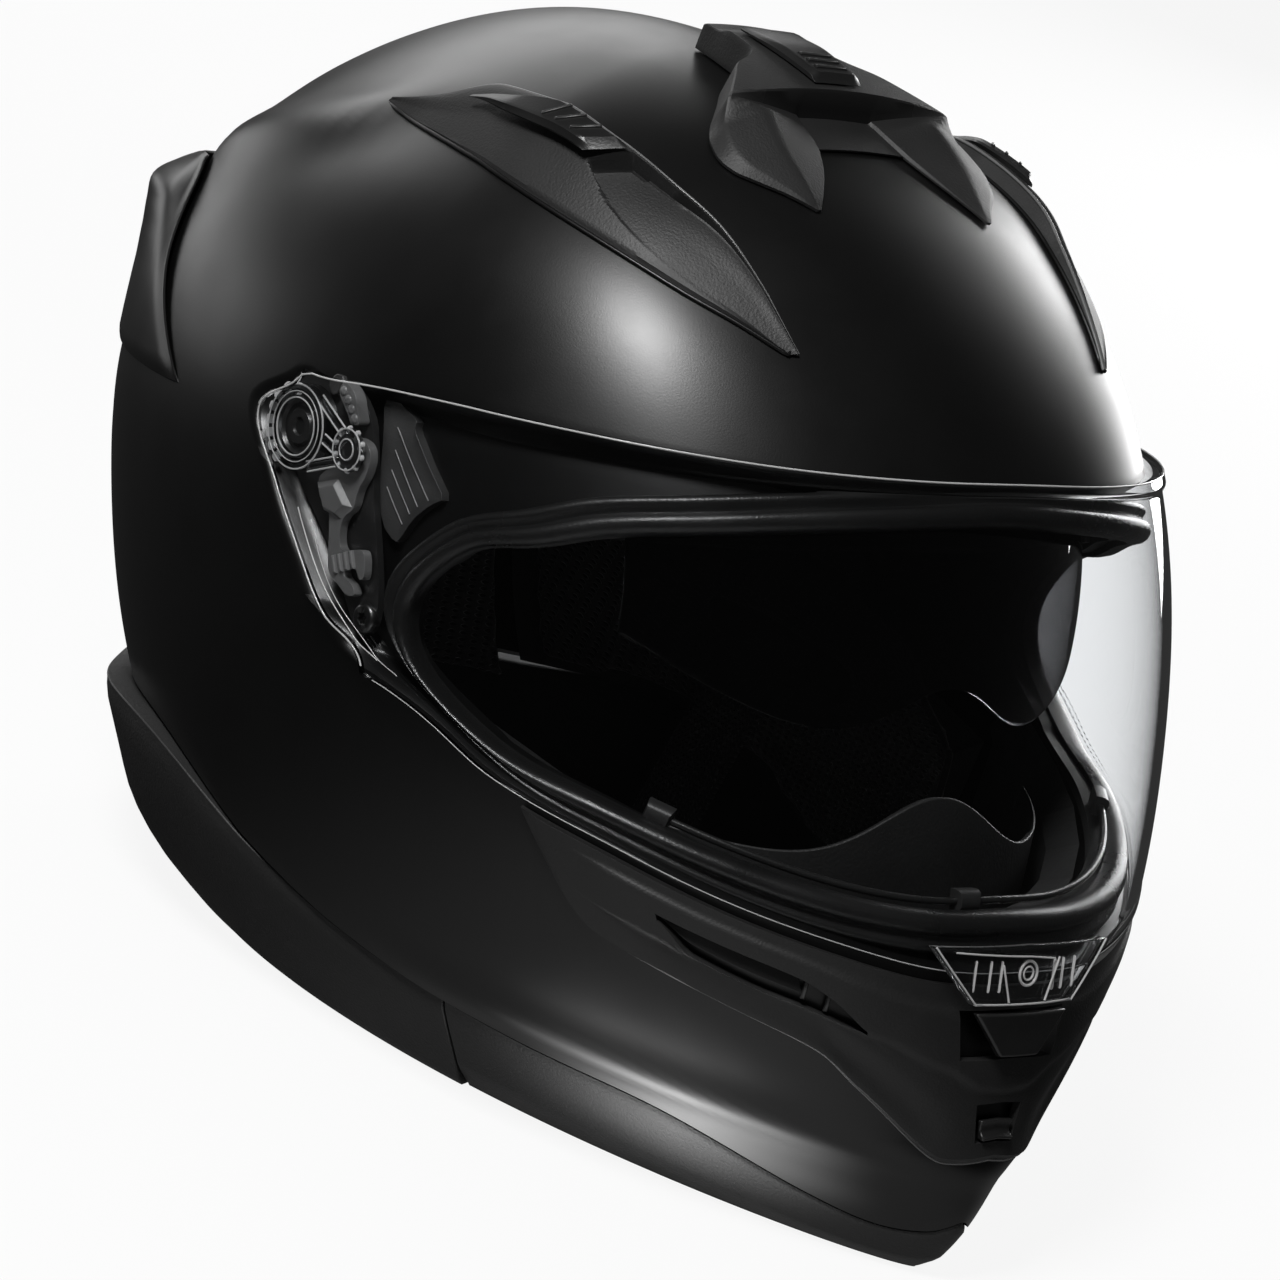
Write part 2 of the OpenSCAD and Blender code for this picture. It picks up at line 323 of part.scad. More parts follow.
module neck_roll() color([.15,.15,.16]) let(cc=[for (i=[0:12]) mixf(8.0,10,i/12)], f=function(q) q>9?-(18-q):q)
  slab([for (r=[.2,.8,1.5,2.2,3,3.7,4.2], i=[0:12]) let(q=f(mixf(7.95,10.05,i/12)), n=net(r,q)) I(n[1],n[0],liner_k-.014)],
       [for (r=[.2,.8,1.5,2.2,3,3.7,4.2], i=[0:12]) let(q=f(mixf(7.95,10.05,i/12)), n=net(r,q)) I(n[1],n[0],pad_k-.02*sin(180*clamp((r-.2)/4.2,0,1)))], 7, 13);
module chin_curtain() color([.12,.12,.12])
  slab([for (k=[.72,.79,.86,.92], a=[.58:-.116:-.581]) let(p=I(.75,a,k)) [p[0],p[1],10.5-10*(.92-k)]],
       [for (k=[.72,.79,.86,.92], a=[.58:-.116:-.581]) let(p=I(.75,a,k)) [p[0],p[1],9-10*(.92-k)]], 4, 11);
// breath deflector with its nose bump
function bdtop(v) = 4.32+.5*exp(-pow(v/.16,2));
module breath_deflector() color([.12,.12,.12])
  slab([for (b=[0:.25:1], a=[-1:.125:1]) let(v=a*.56, u=mixf(2.9,bdtop(v),b)) I(u,v,.838)],
       [for (b=[0:.25:1], a=[-1:.125:1]) let(v=a*.56, u=mixf(2.9,bdtop(v),b)) I(u,v,.824)], 5, 17);

// drop-down sun visor: a sheet of revolution about its own hinge line
sy = 5; sz = 120; sr = 131; st = 2;
function sunr(x) = sr-38*pow(abs(x)/84,2.2);
function sun(x,a,t) = [x, sy-(sunr(x)-t)*cos(a), sz+(sunr(x)-t)*sin(a)];
function slo(x) = 1+7*exp(-pow(x/24,2))+10*pow(abs(x)/84,3);
module sun_visor() color([.15,.15,.18,.7])
  slab([for (b=[0:.125:1], x=[82:-10.25:-82]) sun(x,mixf(slo(x),33,b),0)],
       [for (b=[0:.125:1], x=[82:-10.25:-82]) sun(x,mixf(slo(x),33,b),st)], 9, 17);
// its arms run forward and inward from the hinge
SA = [[12,106,5],[6,106,8],[-2,106,7],[-14,105.4,6],[-30,102,6],[-45,96,6],[-58,89,6.5],[-69,83.6,7.5],[-78,83.2,8]];
function arz(y) = sz+(sy-y)*.575;
module sun_arm() color([.2,.2,.22]) difference() {
  slab([for (k=[0:len(SA)-1], e=[-1,1]) let(p=SA[k]) [-p[1]-.9, p[0]+e*p[2]*.5, arz(p[0])-e*p[2]*-.86]],
       [for (k=[0:len(SA)-1], e=[-1,1]) let(p=SA[k]) [-p[1]+1, p[0]+e*p[2]*.5, arz(p[0])-e*p[2]*-.86]], len(SA), 2);
  translate([-120,sy,sz]) rotate([0,90,0]) cylinder(r=3.06, h=30);
}
module sun_visor_arm_right() sun_arm();
module sun_visor_arm_left() left() sun_arm();
module sun_visor_pins() color([.4,.4,.4]) both_x() translate([-117,sy,sz]) rotate([0,90,0]) { cylinder(r=3, h=13.4); cylinder(r=5, h=8); }
module sun_visor_lever() color([.25,.25,.25]) translate([64.5,-46,3]) { cube([3.5,16,8]); for (i=[0:4]) translate([-.8,2+i*2.6,1]) cube([1,1.2,6]); }

// retention strap: from the shell through the slot in each cheek pad, down into the neck opening
SL = [[-111.6,99],[-104,96],[-92,89],[-80,80],[-73,69],[-67,52],[-61.5,33]];
SM = [[-111.6,99],[-104,96],[-92,89],[-80,80],[-73,69],[-67,52],[-60.5,30],[-56,12]];
module web(W) let(n=len(W), nn=[for (i=[0:n-1]) let(d=unit(W[min(i+1,n-1)]-W[max(i-1,0)])) [d[1],-d[0]]])
  slab([for (y=[3+strap_w,3], i=[0:n-1]) [W[i][0]-nn[i][0],y,W[i][1]-nn[i][1]]],
       [for (y=[3+strap_w,3], i=[0:n-1]) [W[i][0]+nn[i][0],y,W[i][1]+nn[i][1]]], 2, n);
module chin_strap_right() color([.1,.1,.1]) {
  web(SL);
  for (p=[[-61.5,30],[-55.6,30]]) translate([p[0],3,p[1]]) rotate([-90,0,0]) difference() { cylinder(r=3.1, h=strap_w); translate([0,0,-1]) cylinder(r=1.84, h=40); }
}
module chin_strap_left() color([.1,.1,.1]) left() web(SM);
module strap_anchors() color([.5,.5,.5]) both_x() translate([-114.1,3+strap_w/2,99.5]) rotate([0,90,0]) cylinder(r=8, h=1.6);
module dring() color([.6,.6,.6]) {
  w = strap_w/2+2.5;
  for (z=[0,-18]) translate([0,-w,z]) rotate([-90,0,0]) cylinder(r=1.8, h=2*w);
  for (y=[-w,w]) { translate([0,y,-18]) cylinder(r=1.8, h=18); for (z=[0,-18]) translate([0,y,z]) sphere(r=1.8); }
}
module d_ring_outer() translate([-61.5,3+strap_w/2,30]) dring();
module d_ring_inner() translate([-55.6,3+strap_w/2,30]) dring();

outer_shell();
eyeport_gasket();
visor();
visor_pivot_ring_right();
visor_pivot_ring_left();
pivot_boss_right();
pivot_boss_left();
pivot_base_plate_right();
pivot_base_plate_left();
pivot_screws();
release_lever_right();
release_lever_left();
lever_pins();
detent_rack_right();
detent_rack_left();
visor_lock_tab();
visor_lock_button();
chin_cover();
chin_inlet_grille_right();
chin_inlet_grille_left();
chin_vent_slider();
front_rim();
rear_collar();
rear_spoiler();
top_vent_cover();
top_vent_slider();
brow_vent_cover_right();
brow_vent_cover_left();
brow_vent_slider_right();
brow_vent_slider_left();
eps_liner();
chin_liner();
cheek_liner_right();
cheek_liner_left();
crown_pad();
cheek_pad_right();
cheek_pad_left();
neck_roll();
chin_curtain();
breath_deflector();
sun_visor();
sun_visor_arm_right();
sun_visor_arm_left();
sun_visor_pins();
sun_visor_lever();
chin_strap_right();
chin_strap_left();
strap_anchors();
d_ring_outer();
d_ring_inner();
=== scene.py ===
# %% [markdown]
# A full-face motorcycle helmet, built as a lesson in cells. The frame that holds every
# moving piece comes from CAD; this file dresses it. All work is in metres, with X to the
# wearer's left, the face looking along -Y and Z up, and the rim resting on Z = 0.

# %% Load the frame
import json
import math
import bpy
import bmesh
import numpy as np
from mathutils import Matrix, Vector
from mathutils.geometry import tessellate_polygon

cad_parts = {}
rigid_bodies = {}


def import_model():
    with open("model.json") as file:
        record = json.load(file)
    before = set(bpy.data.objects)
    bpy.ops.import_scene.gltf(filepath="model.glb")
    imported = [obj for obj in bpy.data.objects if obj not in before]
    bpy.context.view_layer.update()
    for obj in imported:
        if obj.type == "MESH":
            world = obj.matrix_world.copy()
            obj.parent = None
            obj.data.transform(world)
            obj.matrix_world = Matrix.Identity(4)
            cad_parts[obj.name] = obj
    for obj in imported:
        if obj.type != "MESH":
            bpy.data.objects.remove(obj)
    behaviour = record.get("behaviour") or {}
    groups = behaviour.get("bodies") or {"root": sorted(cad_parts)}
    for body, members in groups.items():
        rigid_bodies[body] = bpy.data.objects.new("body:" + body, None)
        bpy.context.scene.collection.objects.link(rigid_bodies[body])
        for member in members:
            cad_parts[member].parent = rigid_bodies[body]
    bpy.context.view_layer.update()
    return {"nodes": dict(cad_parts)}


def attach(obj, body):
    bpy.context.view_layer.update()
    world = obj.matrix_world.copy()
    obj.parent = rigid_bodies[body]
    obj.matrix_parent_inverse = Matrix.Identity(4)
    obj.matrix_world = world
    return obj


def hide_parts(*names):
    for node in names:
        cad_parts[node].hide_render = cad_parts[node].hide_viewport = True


for stray in list(bpy.data.objects):
    bpy.data.objects.remove(stray)
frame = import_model()
MM = 0.001


def new_object(name, data):
    obj = bpy.data.objects.new(name, data)
    bpy.context.scene.collection.objects.link(obj)
    return obj


# %% [markdown]
# The camera comes first, because everything is judged through it. It stands on the
# wearer's right, a little above the helmet, with a long lens, so that the sides hardly
# converge.

# %% Camera
PITCH, TURN, FAR = math.radians(24.5), math.radians(43), 1.440
SENSOR, FRAME, FOCAL, SHIFT = 36, 1280, 5400, 3   # mm, then pixels of the frame
look = Vector((math.sin(TURN), math.cos(TURN) * math.cos(PITCH), -math.cos(TURN) * math.sin(PITCH)))
up = Vector((0, math.sin(PITCH), math.cos(PITCH)))
aim = Vector((0, -0.014, 0.1015))
camera = new_object("camera", bpy.data.cameras.new("camera"))
side = look.cross(up).normalized()
turned = Matrix((side, side.cross(look), -look)).transposed().to_4x4()
camera.matrix_world = Matrix.Translation(aim - look * FAR) @ turned
camera.data.sensor_width = SENSOR
camera.data.lens = SENSOR * FOCAL / FRAME
camera.data.shift_x = SHIFT / FRAME
camera.data.clip_start, camera.data.clip_end = 0.05, 50
bpy.context.scene.camera = camera
bpy.context.scene.view_settings.view_transform = "Standard"
print("lens %.1f mm at %.2f m" % (camera.data.lens, FAR))

# %% [markdown]
# A helmet's skin is one smooth shape, and every panel lies on it. It could be sculpted,
# but then the vents, visor and trims would each need fitting. Here the skin is a rule:
# twelve level sections, each with its height, tilt, front, rear, half width and the
# fullness of its curve, joined by a smooth spline. u counts the sections from the rim to
# the crown, and v runs from 0 at the front over 1 at the side to 2 at the rear.

# %% The rule of the skin
# height, tilt, front, rear, half width, widest y, then the fullness of the curve
SECTION = np.array([
    [0, 0.00, -176, 102, 80, -4, .14, .48, .50, .60],
    [14, 0.00, -184, 116, 92, -4, .18, .48, .50, .60],
    [32, 0.00, -184, 114, 104, -2, .28, .50, .50, .60],
    [60, 0.00, -178, 142, 114, 0, .52, .60, .50, .60],
    [92, 0.00, -170, 160, 120, 0, .60, .62, .50, .60],
    [125, 0.04, -158, 168, 123, 0, .58, .62, .52, .62],
    [157, 0.08, -142, 170, 121, 0, .58, .62, .52, .62],
    [190, 0.12, -116, 164, 112, 0, .60, .62, .52, .60],
    [220, 0.14, -84, 148, 96, 0, .60, .60, .55, .55],
    [242, 0.12, -48, 116, 70, 5, .58, .58, .55, .55],
    [255, 0.06, -14, 74, 36, 16, .55, .55, .55, .55],
    [258, 0.00, 22, 22, 0, 22, .55, .55, .55, .55]])
below = 2 * SECTION[0] - SECTION[1]
beyond = SECTION[10].copy()
beyond[[1, 4]] *= -1
beyond[[2, 3, 5]] = 2 * SECTION[11, [2, 3, 5]] - SECTION[10, [2, 3, 5]]
ROWS = np.vstack([below, SECTION, beyond])


def bezier(a, b, c, d, t):
    s = 1 - t
    return s ** 3 * a + 3 * s * s * t * b + 3 * s * t * t * c + t ** 3 * d


def surface(u, v):
    """Points of the skin in mm. v above 0 is the wearer's right."""
    u, v = np.broadcast_arrays(np.asarray(u, float), np.asarray(v, float))
    v = np.where(v > 2, v - 4, np.where(v < -2, v + 4, v))
    w = np.clip(u, 0, 10.99999)
    i = np.floor(w).astype(int)
    x = (w - i)[..., None]
    row = ((1 - x) ** 3 * ROWS[i] + (3 * x ** 3 - 6 * x * x + 4) * ROWS[i + 1]
           + (-3 * x ** 3 + 3 * x * x + 3 * x + 1) * ROWS[i + 2] + x ** 3 * ROWS[i + 3]) / 6
    z0, tilt, yf, yr, wide, yw, hf, hsf, hsr, hr = np.moveaxis(row, -1, 0)
    a = np.abs(v)
    ahead = a <= 1
    t = np.where(ahead, a, a - 1)
    sx = np.where(ahead, bezier(0, hf, 1, 1, t), bezier(1, 1, hr, 0, t))
    ly = np.where(ahead, bezier(1, 1, hsf, 0, t), bezier(0, hsr, 1, 1, t))
    y = yw + (np.where(ahead, yf, yr) - yw) * ly
    return np.stack([np.where(v < 0, 1, -1) * wide * sx, y, z0 - tilt * y], -1)


def normal(u, v):
    n = np.cross(surface(u + .02, v) - surface(u - .02, v), surface(u, v + .02) - surface(u, v - .02))
    n = n / np.maximum(np.linalg.norm(n, axis=-1, keepdims=True), 1e-9)
    top = (np.asarray(u) > 10.9)[..., None]
    return np.where(top, np.array([0, 0, 1.0]), n)


def step(a, b, x):
    t = np.clip((x - a) / (b - a), 0, 1)
    return t * t * (3 - 2 * t)


def bump(x, mid, half):
    """Smooth hill of height 1 round mid, gone at half away from it."""
    return (1 - np.clip(np.abs((x - mid) / half), 0, 1) ** 2) ** 2


def mix(a, b, t):
    return a + (b - a) * t


def grid(a, b):
    """Every pair: a runs down the rows, b along them."""
    return np.meshgrid(a, b, indexing="ij")


def form(u, v):
    """Soft ridge round the crown and the crease along the lower chin bar."""
    a = np.abs(np.where(np.abs(v) > 2, 4 - np.abs(v), v))
    crown = (3 * np.exp(-((u - 8.4 + (a - 1.22) * 2.6) / .35) ** 2) * step(1.15, 1.3, a)
             * (1 - step(1.55, 1.75, a)))
    return crown + 1.6 * np.exp(-((u - 2.0) / .22) ** 2) * (1 - step(.7, .85, a))


def out(u, v, h):
    """Points h mm outside the formed skin."""
    u, v = np.broadcast_arrays(np.asarray(u, float), np.asarray(v, float))
    return surface(u, v) + np.asarray(h + form(u, v))[..., None] * normal(u, v)


def level(u, v, h):
    """As out, but moved only sideways, for the rims that stand on the table."""
    u, v = np.broadcast_arrays(np.asarray(u, float), np.asarray(v, float))
    n = normal(np.maximum(u, .03), v) * np.array([1, 1, 0])
    return surface(u, v) + np.asarray(h)[..., None] * n / np.linalg.norm(n, axis=-1, keepdims=True)


def inner(u, v, k):
    """The skin drawn in about the head, for foam and pads."""
    p, k = surface(u, v), np.asarray(k)
    return np.stack([p[..., 0] * k, 8 + (p[..., 1] - 8) * k, p[..., 2] * (0.40 + 0.60 * k)], -1)


print("crown at", surface(11, 0).round(1), "mm")

# %% [markdown]
# The visor's edges don't follow level sections, so the skin also has a net of its own:
# row 3 and row 6 are the lower and upper edge of the eyeport, rows 2 and 7 those of the
# visor, and column 6 the visor's rear edge. Each point of the net is a place on the skin.

# %% The net of panel lines
NET = np.array([
    [[0, 1.22], [.11, .97], [.22, .86], [.33, 1.05], [.50, 1.55], [.67, 1.68], [.85, 1.93], [1.20, 2.75],
     [1.60, 2.45], [2, 2.4]],
    [[0, 2.60], [.13, 2.55], [.26, 2.50], [.39, 2.60], [.53, 2.80], [.68, 2.95], [.85, 3.15], [1.25, 3.50],
     [1.63, 3.30], [2, 3.3]],
    [[0, 3.70], [.13, 3.70], [.27, 3.79], [.41, 3.89], [.54, 4.01], [.68, 4.13], [.85, 4.40], [1.30, 4.40],
     [1.65, 4.30], [2, 4.3]],
    [[0, 4.07], [.13, 4.05], [.27, 4.07], [.42, 4.13], [.56, 4.21], [.70, 4.29], [.91, 4.70], [1.30, 4.75],
     [1.65, 4.70], [2, 4.7]],
    [[0, 4.75], [.16, 4.72], [.33, 4.70], [.49, 4.68], [.65, 4.65], [.815, 4.62], [.95, 4.97], [1.30, 5.05],
     [1.65, 5.00], [2, 5.0]],
    [[0, 5.60], [.16, 5.58], [.33, 5.52], [.49, 5.42], [.65, 5.30], [.825, 5.15], [1.01, 5.40], [1.30, 5.40],
     [1.65, 5.40], [2, 5.4]],
    [[0, 6.52], [.15, 6.47], [.31, 6.36], [.46, 6.20], [.60, 6.00], [.77, 5.65], [1.065, 5.87], [1.32, 5.80],
     [1.66, 5.80], [2, 5.8]],
    [[0, 6.70], [.17, 6.68], [.34, 6.65], [.50, 6.62], [.66, 6.58], [.82, 6.52], [1.03, 6.42], [1.33, 6.40],
     [1.66, 6.40], [2, 6.4]],
    *[[[v, u] for v in (0, .17, .34, .50, .66, .83, 1.04, 1.35, 1.68, 2)] for u in (7.6, 8.7, 9.9, 11)]])
left_of = NET[:, 1:2] * [-1, 1]
right_of = NET[:, 8:9] * [-1, 1] + [4, 0]
WIDE = np.concatenate([left_of, NET, right_of], 1)
WIDE = np.concatenate([2 * WIDE[:1] - WIDE[1:2], WIDE, 2 * WIDE[-1:] - WIDE[-2:-1]], 0)


def catmull(p0, p1, p2, p3, t):
    return p1 + .5 * t * (p2 - p0 + t * (2 * p0 - 5 * p1 + 4 * p2 - p3 + t * (3 * (p1 - p2) + p3 - p0)))


def net(r, q):
    """(v, u) of net row r and column q, with the visor's upper rear corner rounded."""
    r, q = np.broadcast_arrays(np.asarray(r, float), np.asarray(q, float))
    a = np.abs(q)
    near = np.exp(-((r - 7) / .5) ** 2 - ((a - 6) / .4) ** 2)
    r2, a = np.clip(r - .12 * near, 0, 10.99999), np.clip(a - .08 * near, 0, 8.99999)
    i, j = np.floor(r2).astype(int), np.floor(a).astype(int)
    tr, ta = (r2 - i)[..., None], (a - j)[..., None]
    line = [catmull(*[WIDE[i + k, j + m] for m in range(4)], ta) for k in range(4)]
    n = catmull(*line, tr)
    return np.where(q < 0, -1, 1) * n[..., 0], n[..., 1]


def on_net(r, q, h):
    v, u = net(r, q)
    return surface(u, v) + np.asarray(h)[..., None] * normal(u, v)


print("eyeport edge at the front:", on_net(6, 0, 0).round(1))

# %% [markdown]
# Most pieces are slabs: two grids of points, an outer and an inner one, sewn together
# round their edges and round any cells that are left out for an opening. A Bevel then
# breaks the sharp edges, as a mould does, so that they catch a thin line of light.

# %% Slab maker
def finish_mesh(name, verts, faces, body, replaces=(), smooth=35):
    mesh = bpy.data.meshes.new(name)
    mesh.from_pydata([tuple(p) for p in np.asarray(verts) * MM], [], faces)
    mesh.validate()
    mesh.shade_smooth()
    mesh.set_sharp_from_angle(angle=math.radians(smooth))
    piece = new_object(name, mesh)
    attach(piece, body)
    if replaces:
        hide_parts(*replaces)
    return piece


def coords(mesh):
    co = np.zeros(len(mesh.vertices) * 3)
    mesh.vertices.foreach_get("co", co)
    return co.reshape(-1, 3)


def signed_volume(mesh):
    mesh.calc_loop_triangles()
    tri = np.zeros(len(mesh.loop_triangles) * 3, int)
    mesh.loop_triangles.foreach_get("vertices", tri)
    a, b, c = coords(mesh)[tri.reshape(-1, 3)].transpose(1, 0, 2)
    return float(np.einsum("ij,ij->i", a, np.cross(b, c)).sum() / 6)


def face_out(piece):
    """Turns the faces outward, judged by the sign of the enclosed volume."""
    if signed_volume(piece.data) < 0:
        piece.data.flip_normals()
    return piece


def soften(piece, width):
    m = piece.modifiers.new("edge", "BEVEL")
    m.width, m.segments, m.limit_method, m.angle_limit = width * MM, 2, "ANGLE", math.radians(40)
    return piece


def rounded(piece):
    m = piece.modifiers.new("smooth", "SUBSURF")
    m.levels = m.render_levels = 1
    return piece


def slab(name, top, under, body, replaces=(), wrap=False, pole=False, gone=None, bevel=0, smooth=35):
    nr, nc = top.shape[:2]
    nj = nc if wrap else nc - 1
    here = np.ones((nr - 1, nj), bool)
    if gone is not None:
        here &= ~gone
    full = np.zeros((nr + 1, nj + 2), bool)
    full[1:nr, 1:nj + 1] = here
    if wrap:
        full[1:nr, 0], full[1:nr, -1] = here[:, -1], here[:, 0]
    ii, jj = np.nonzero(here)
    jn = (jj + 1) % nc
    p, s, t, w = ii * nc + jj, ii * nc + jn, (ii + 1) * nc + jn, (ii + 1) * nc + jj
    if pole:
        last = ii == nr - 2
        t, w = np.where(last, (nr - 1) * nc, t), np.where(last, (nr - 1) * nc, w)
    n = nr * nc
    faces = []
    dn, upn = full[ii, jj + 1], full[ii + 2, jj + 1]
    lf, rt = full[ii + 1, jj], full[ii + 1, jj + 2]
    for a, b, c, d, f0, f1, f2, f3 in zip(p, s, t, w, dn, upn, lf, rt):
        a, b, c, d = int(a), int(b), int(c), int(d)
        if c == d:
            faces += [(a, c, b), (n + a, n + b, n + c)]
        else:
            faces += [(a, d, c, b), (n + a, n + b, n + c, n + d)]
        if not f0:
            faces.append((a, b, n + b, n + a))
        if not f1 and c != d:
            faces.append((d, n + d, n + c, c))
        if not f2:
            faces.append((a, n + a, n + d, d))
        if not f3:
            faces.append((b, c, n + c, n + b))
    verts = np.concatenate([top.reshape(-1, 3), under.reshape(-1, 3)])
    used = np.zeros(len(verts), bool)
    for f in faces:
        used[list(f)] = True
    renumber = np.cumsum(used) - 1
    faces = [tuple(int(renumber[k]) for k in f) for f in faces]
    # the grids run either way round, so the sign of the volume tells which way is out
    piece = face_out(finish_mesh(name, verts[used], faces, body, replaces, smooth))
    return soften(piece, bevel) if bevel else piece


print("slab maker ready")

# %% [markdown]
# Three effects turn up on nearly every surface of a helmet: a fine moulded grain, marks
# of handling that vary the gloss, and a slow change of tone with edges rubbed a little
# lighter. Each is a shader node group, built once and placed with its own values.

# %% Shared shader groups
def new_group(name, inputs, outputs):
    tree = bpy.data.node_groups.new(name, "ShaderNodeTree")
    for n, value in inputs:
        kind = "NodeSocketColor" if isinstance(value, tuple) else "NodeSocketFloat"
        tree.interface.new_socket(name=n, in_out="INPUT", socket_type=kind).default_value = value
    for n, kind in outputs:
        tree.interface.new_socket(name=n, in_out="OUTPUT", socket_type=kind)
    return tree, tree.nodes.new("NodeGroupInput").outputs, tree.nodes.new("NodeGroupOutput").inputs


def feed(tree, made, inputs):
    """Sets a node's inputs: a socket is linked, anything else is a constant."""
    for key, value in inputs.items():
        socket = made.inputs[key.replace("_", " ") if isinstance(key, str) else key]
        if isinstance(value, bpy.types.NodeSocket):
            tree.links.new(value, socket)
        else:
            socket.default_value = value
    return made


def node(tree, kind, **inputs):
    return feed(tree, tree.nodes.new(kind), inputs)


def placed(tree, group, **inputs):
    """A shared group, set down in a tree."""
    made = tree.nodes.new("ShaderNodeGroup")
    made.node_tree = group
    return feed(tree, made, inputs)


def math_node(tree, kind, a, b=None):
    made = tree.nodes.new("ShaderNodeMath")
    made.operation = kind
    return feed(tree, made, {k: x for k, x in enumerate((a, b)) if x is not None}).outputs[0]


def colour_mix(tree, share, a, b):
    made = tree.nodes.new("ShaderNodeMix")
    made.data_type = "RGBA"
    return feed(tree, made, {0: share, 6: a, 7: b}).outputs[2]


def here(tree):
    return tree.nodes.new("ShaderNodeTexCoord").outputs["Object"]


grain, given, result = new_group("moulded grain", [("Scale", 900.0), ("Height", .3)],
                                 [("Normal", "NodeSocketVector")])
noise = node(grain, "ShaderNodeTexNoise", Vector=here(grain), Scale=given["Scale"], Detail=3)
dent = node(grain, "ShaderNodeBump", Height=noise.outputs["Fac"], Strength=given["Height"], Distance=.0004)
grain.links.new(dent.outputs["Normal"], result["Normal"])

marks, given, result = new_group("handling marks", [("Scale", 30.0), ("Low", .3), ("High", .4)],
                                 [("Roughness", "NodeSocketFloat")])
noise = node(marks, "ShaderNodeTexNoise", Vector=here(marks), Scale=given["Scale"], Detail=6)
spread = node(marks, "ShaderNodeMapRange", Value=noise.outputs["Fac"], From_Min=.35, From_Max=.65,
              To_Min=given["Low"], To_Max=given["High"])
marks.links.new(spread.outputs["Result"], result["Roughness"])

tone, given, result = new_group("slow tone",
                                [("Colour", (.02, .02, .02, 1)), ("Worn", (.05, .05, .05, 1)), ("Scale", 60.0)],
                                [("Color", "NodeSocketColor")])
noise = node(tone, "ShaderNodeTexNoise", Vector=here(tone), Scale=given["Scale"])
edge = tone.nodes.new("ShaderNodeNewGeometry").outputs["Pointiness"]
rub = node(tone, "ShaderNodeMapRange", Value=edge, From_Min=.52, From_Max=.6)
share = math_node(tone, "ADD", rub.outputs["Result"], math_node(tone, "MULTIPLY", noise.outputs["Fac"], .25))
tone.links.new(colour_mix(tone, math_node(tone, "MINIMUM", share, 1.0), given["Colour"], given["Worn"]),
               result["Color"])
print("groups:", [g.name for g in bpy.data.node_groups])

# %% [markdown]
# Spacer mesh, the net that lines a helmet, is a lattice of small oval holes between
# plump yarns. It could be modelled hole by hole, but the pads would grow too heavy, so
# the lattice is a height drawn on the pad's own UV map, which is laid out in metres.

# %% Fabric groups
def lattice(name, pitch, flat):
    """Staggered ovals: height 1 on the yarn, 0 in the hole."""
    tree, given, result = new_group(name, [("Depth", 1.0)],
                                    [("Normal", "NodeSocketVector"), ("Hole", "NodeSocketFloat")])
    split = node(tree, "ShaderNodeSeparateXYZ", Vector=tree.nodes.new("ShaderNodeUVMap").outputs["UV"])
    x = math_node(tree, "MULTIPLY", split.outputs["X"], math.pi / pitch)
    y = math_node(tree, "MULTIPLY", split.outputs["Y"], math.pi / (pitch * flat))
    a = math_node(tree, "COSINE", math_node(tree, "ADD", x, y))
    b = math_node(tree, "COSINE", math_node(tree, "SUBTRACT", x, y))
    hole = node(tree, "ShaderNodeMapRange", Value=math_node(tree, "MULTIPLY", a, b), From_Min=.12, From_Max=.55)
    hole.interpolation_type = "SMOOTHSTEP"
    fuzz = node(tree, "ShaderNodeTexNoise", Vector=here(tree), Scale=2500)
    yarn = math_node(tree, "SUBTRACT", 1.0, hole.outputs["Result"])
    height = math_node(tree, "ADD", yarn, math_node(tree, "MULTIPLY", fuzz.outputs["Fac"], .35))
    dent = node(tree, "ShaderNodeBump", Height=height, Strength=given["Depth"], Distance=.0008)
    tree.links.new(dent.outputs["Normal"], result["Normal"])
    tree.links.new(hole.outputs["Result"], result["Hole"])
    return tree


spacer = lattice("spacer mesh", .0030, .62)
webbing = lattice("webbing weave", .0016, 1.3)
print("fabric lattices ready")

# %% [markdown]
# Most finishes here are black, and what tells them apart is gloss and grain. One helper
# makes them from the shared groups: a satin lacquer, grained trims of two tones, smooth
# rubber and grey nylon, and blackened or bright steel.

# %% Solid finishes
MARKS_SCALE, TONE_SCALE, CLEAR_MARKS_SCALE = 30, 60, 45


def new_material(name):
    mat = bpy.data.materials.new(name)
    mat.use_nodes = True
    return mat, mat.node_tree, mat.node_tree.nodes["Principled BSDF"]


def grey(x):
    return x, x, x, 1


def finish(name, colour, worn, low, high, grain_scale=0, grain_height=0.0, metal=0.0):
    """Grey values, then the lowest and highest roughness, then the grain."""
    mat, tree, skin = new_material(name)
    toned = placed(tree, tone, Colour=grey(colour), Worn=grey(worn), Scale=TONE_SCALE)
    marked = placed(tree, marks, Scale=MARKS_SCALE, Low=low, High=high)
    feed(tree, skin, {"Metallic": metal, "Base Color": toned.outputs["Color"],
                      "Roughness": marked.outputs["Roughness"]})
    if grain_scale:
        feed(tree, skin, {"Normal": placed(tree, grain, Scale=grain_scale,
                                           Height=grain_height).outputs["Normal"]})
    return mat


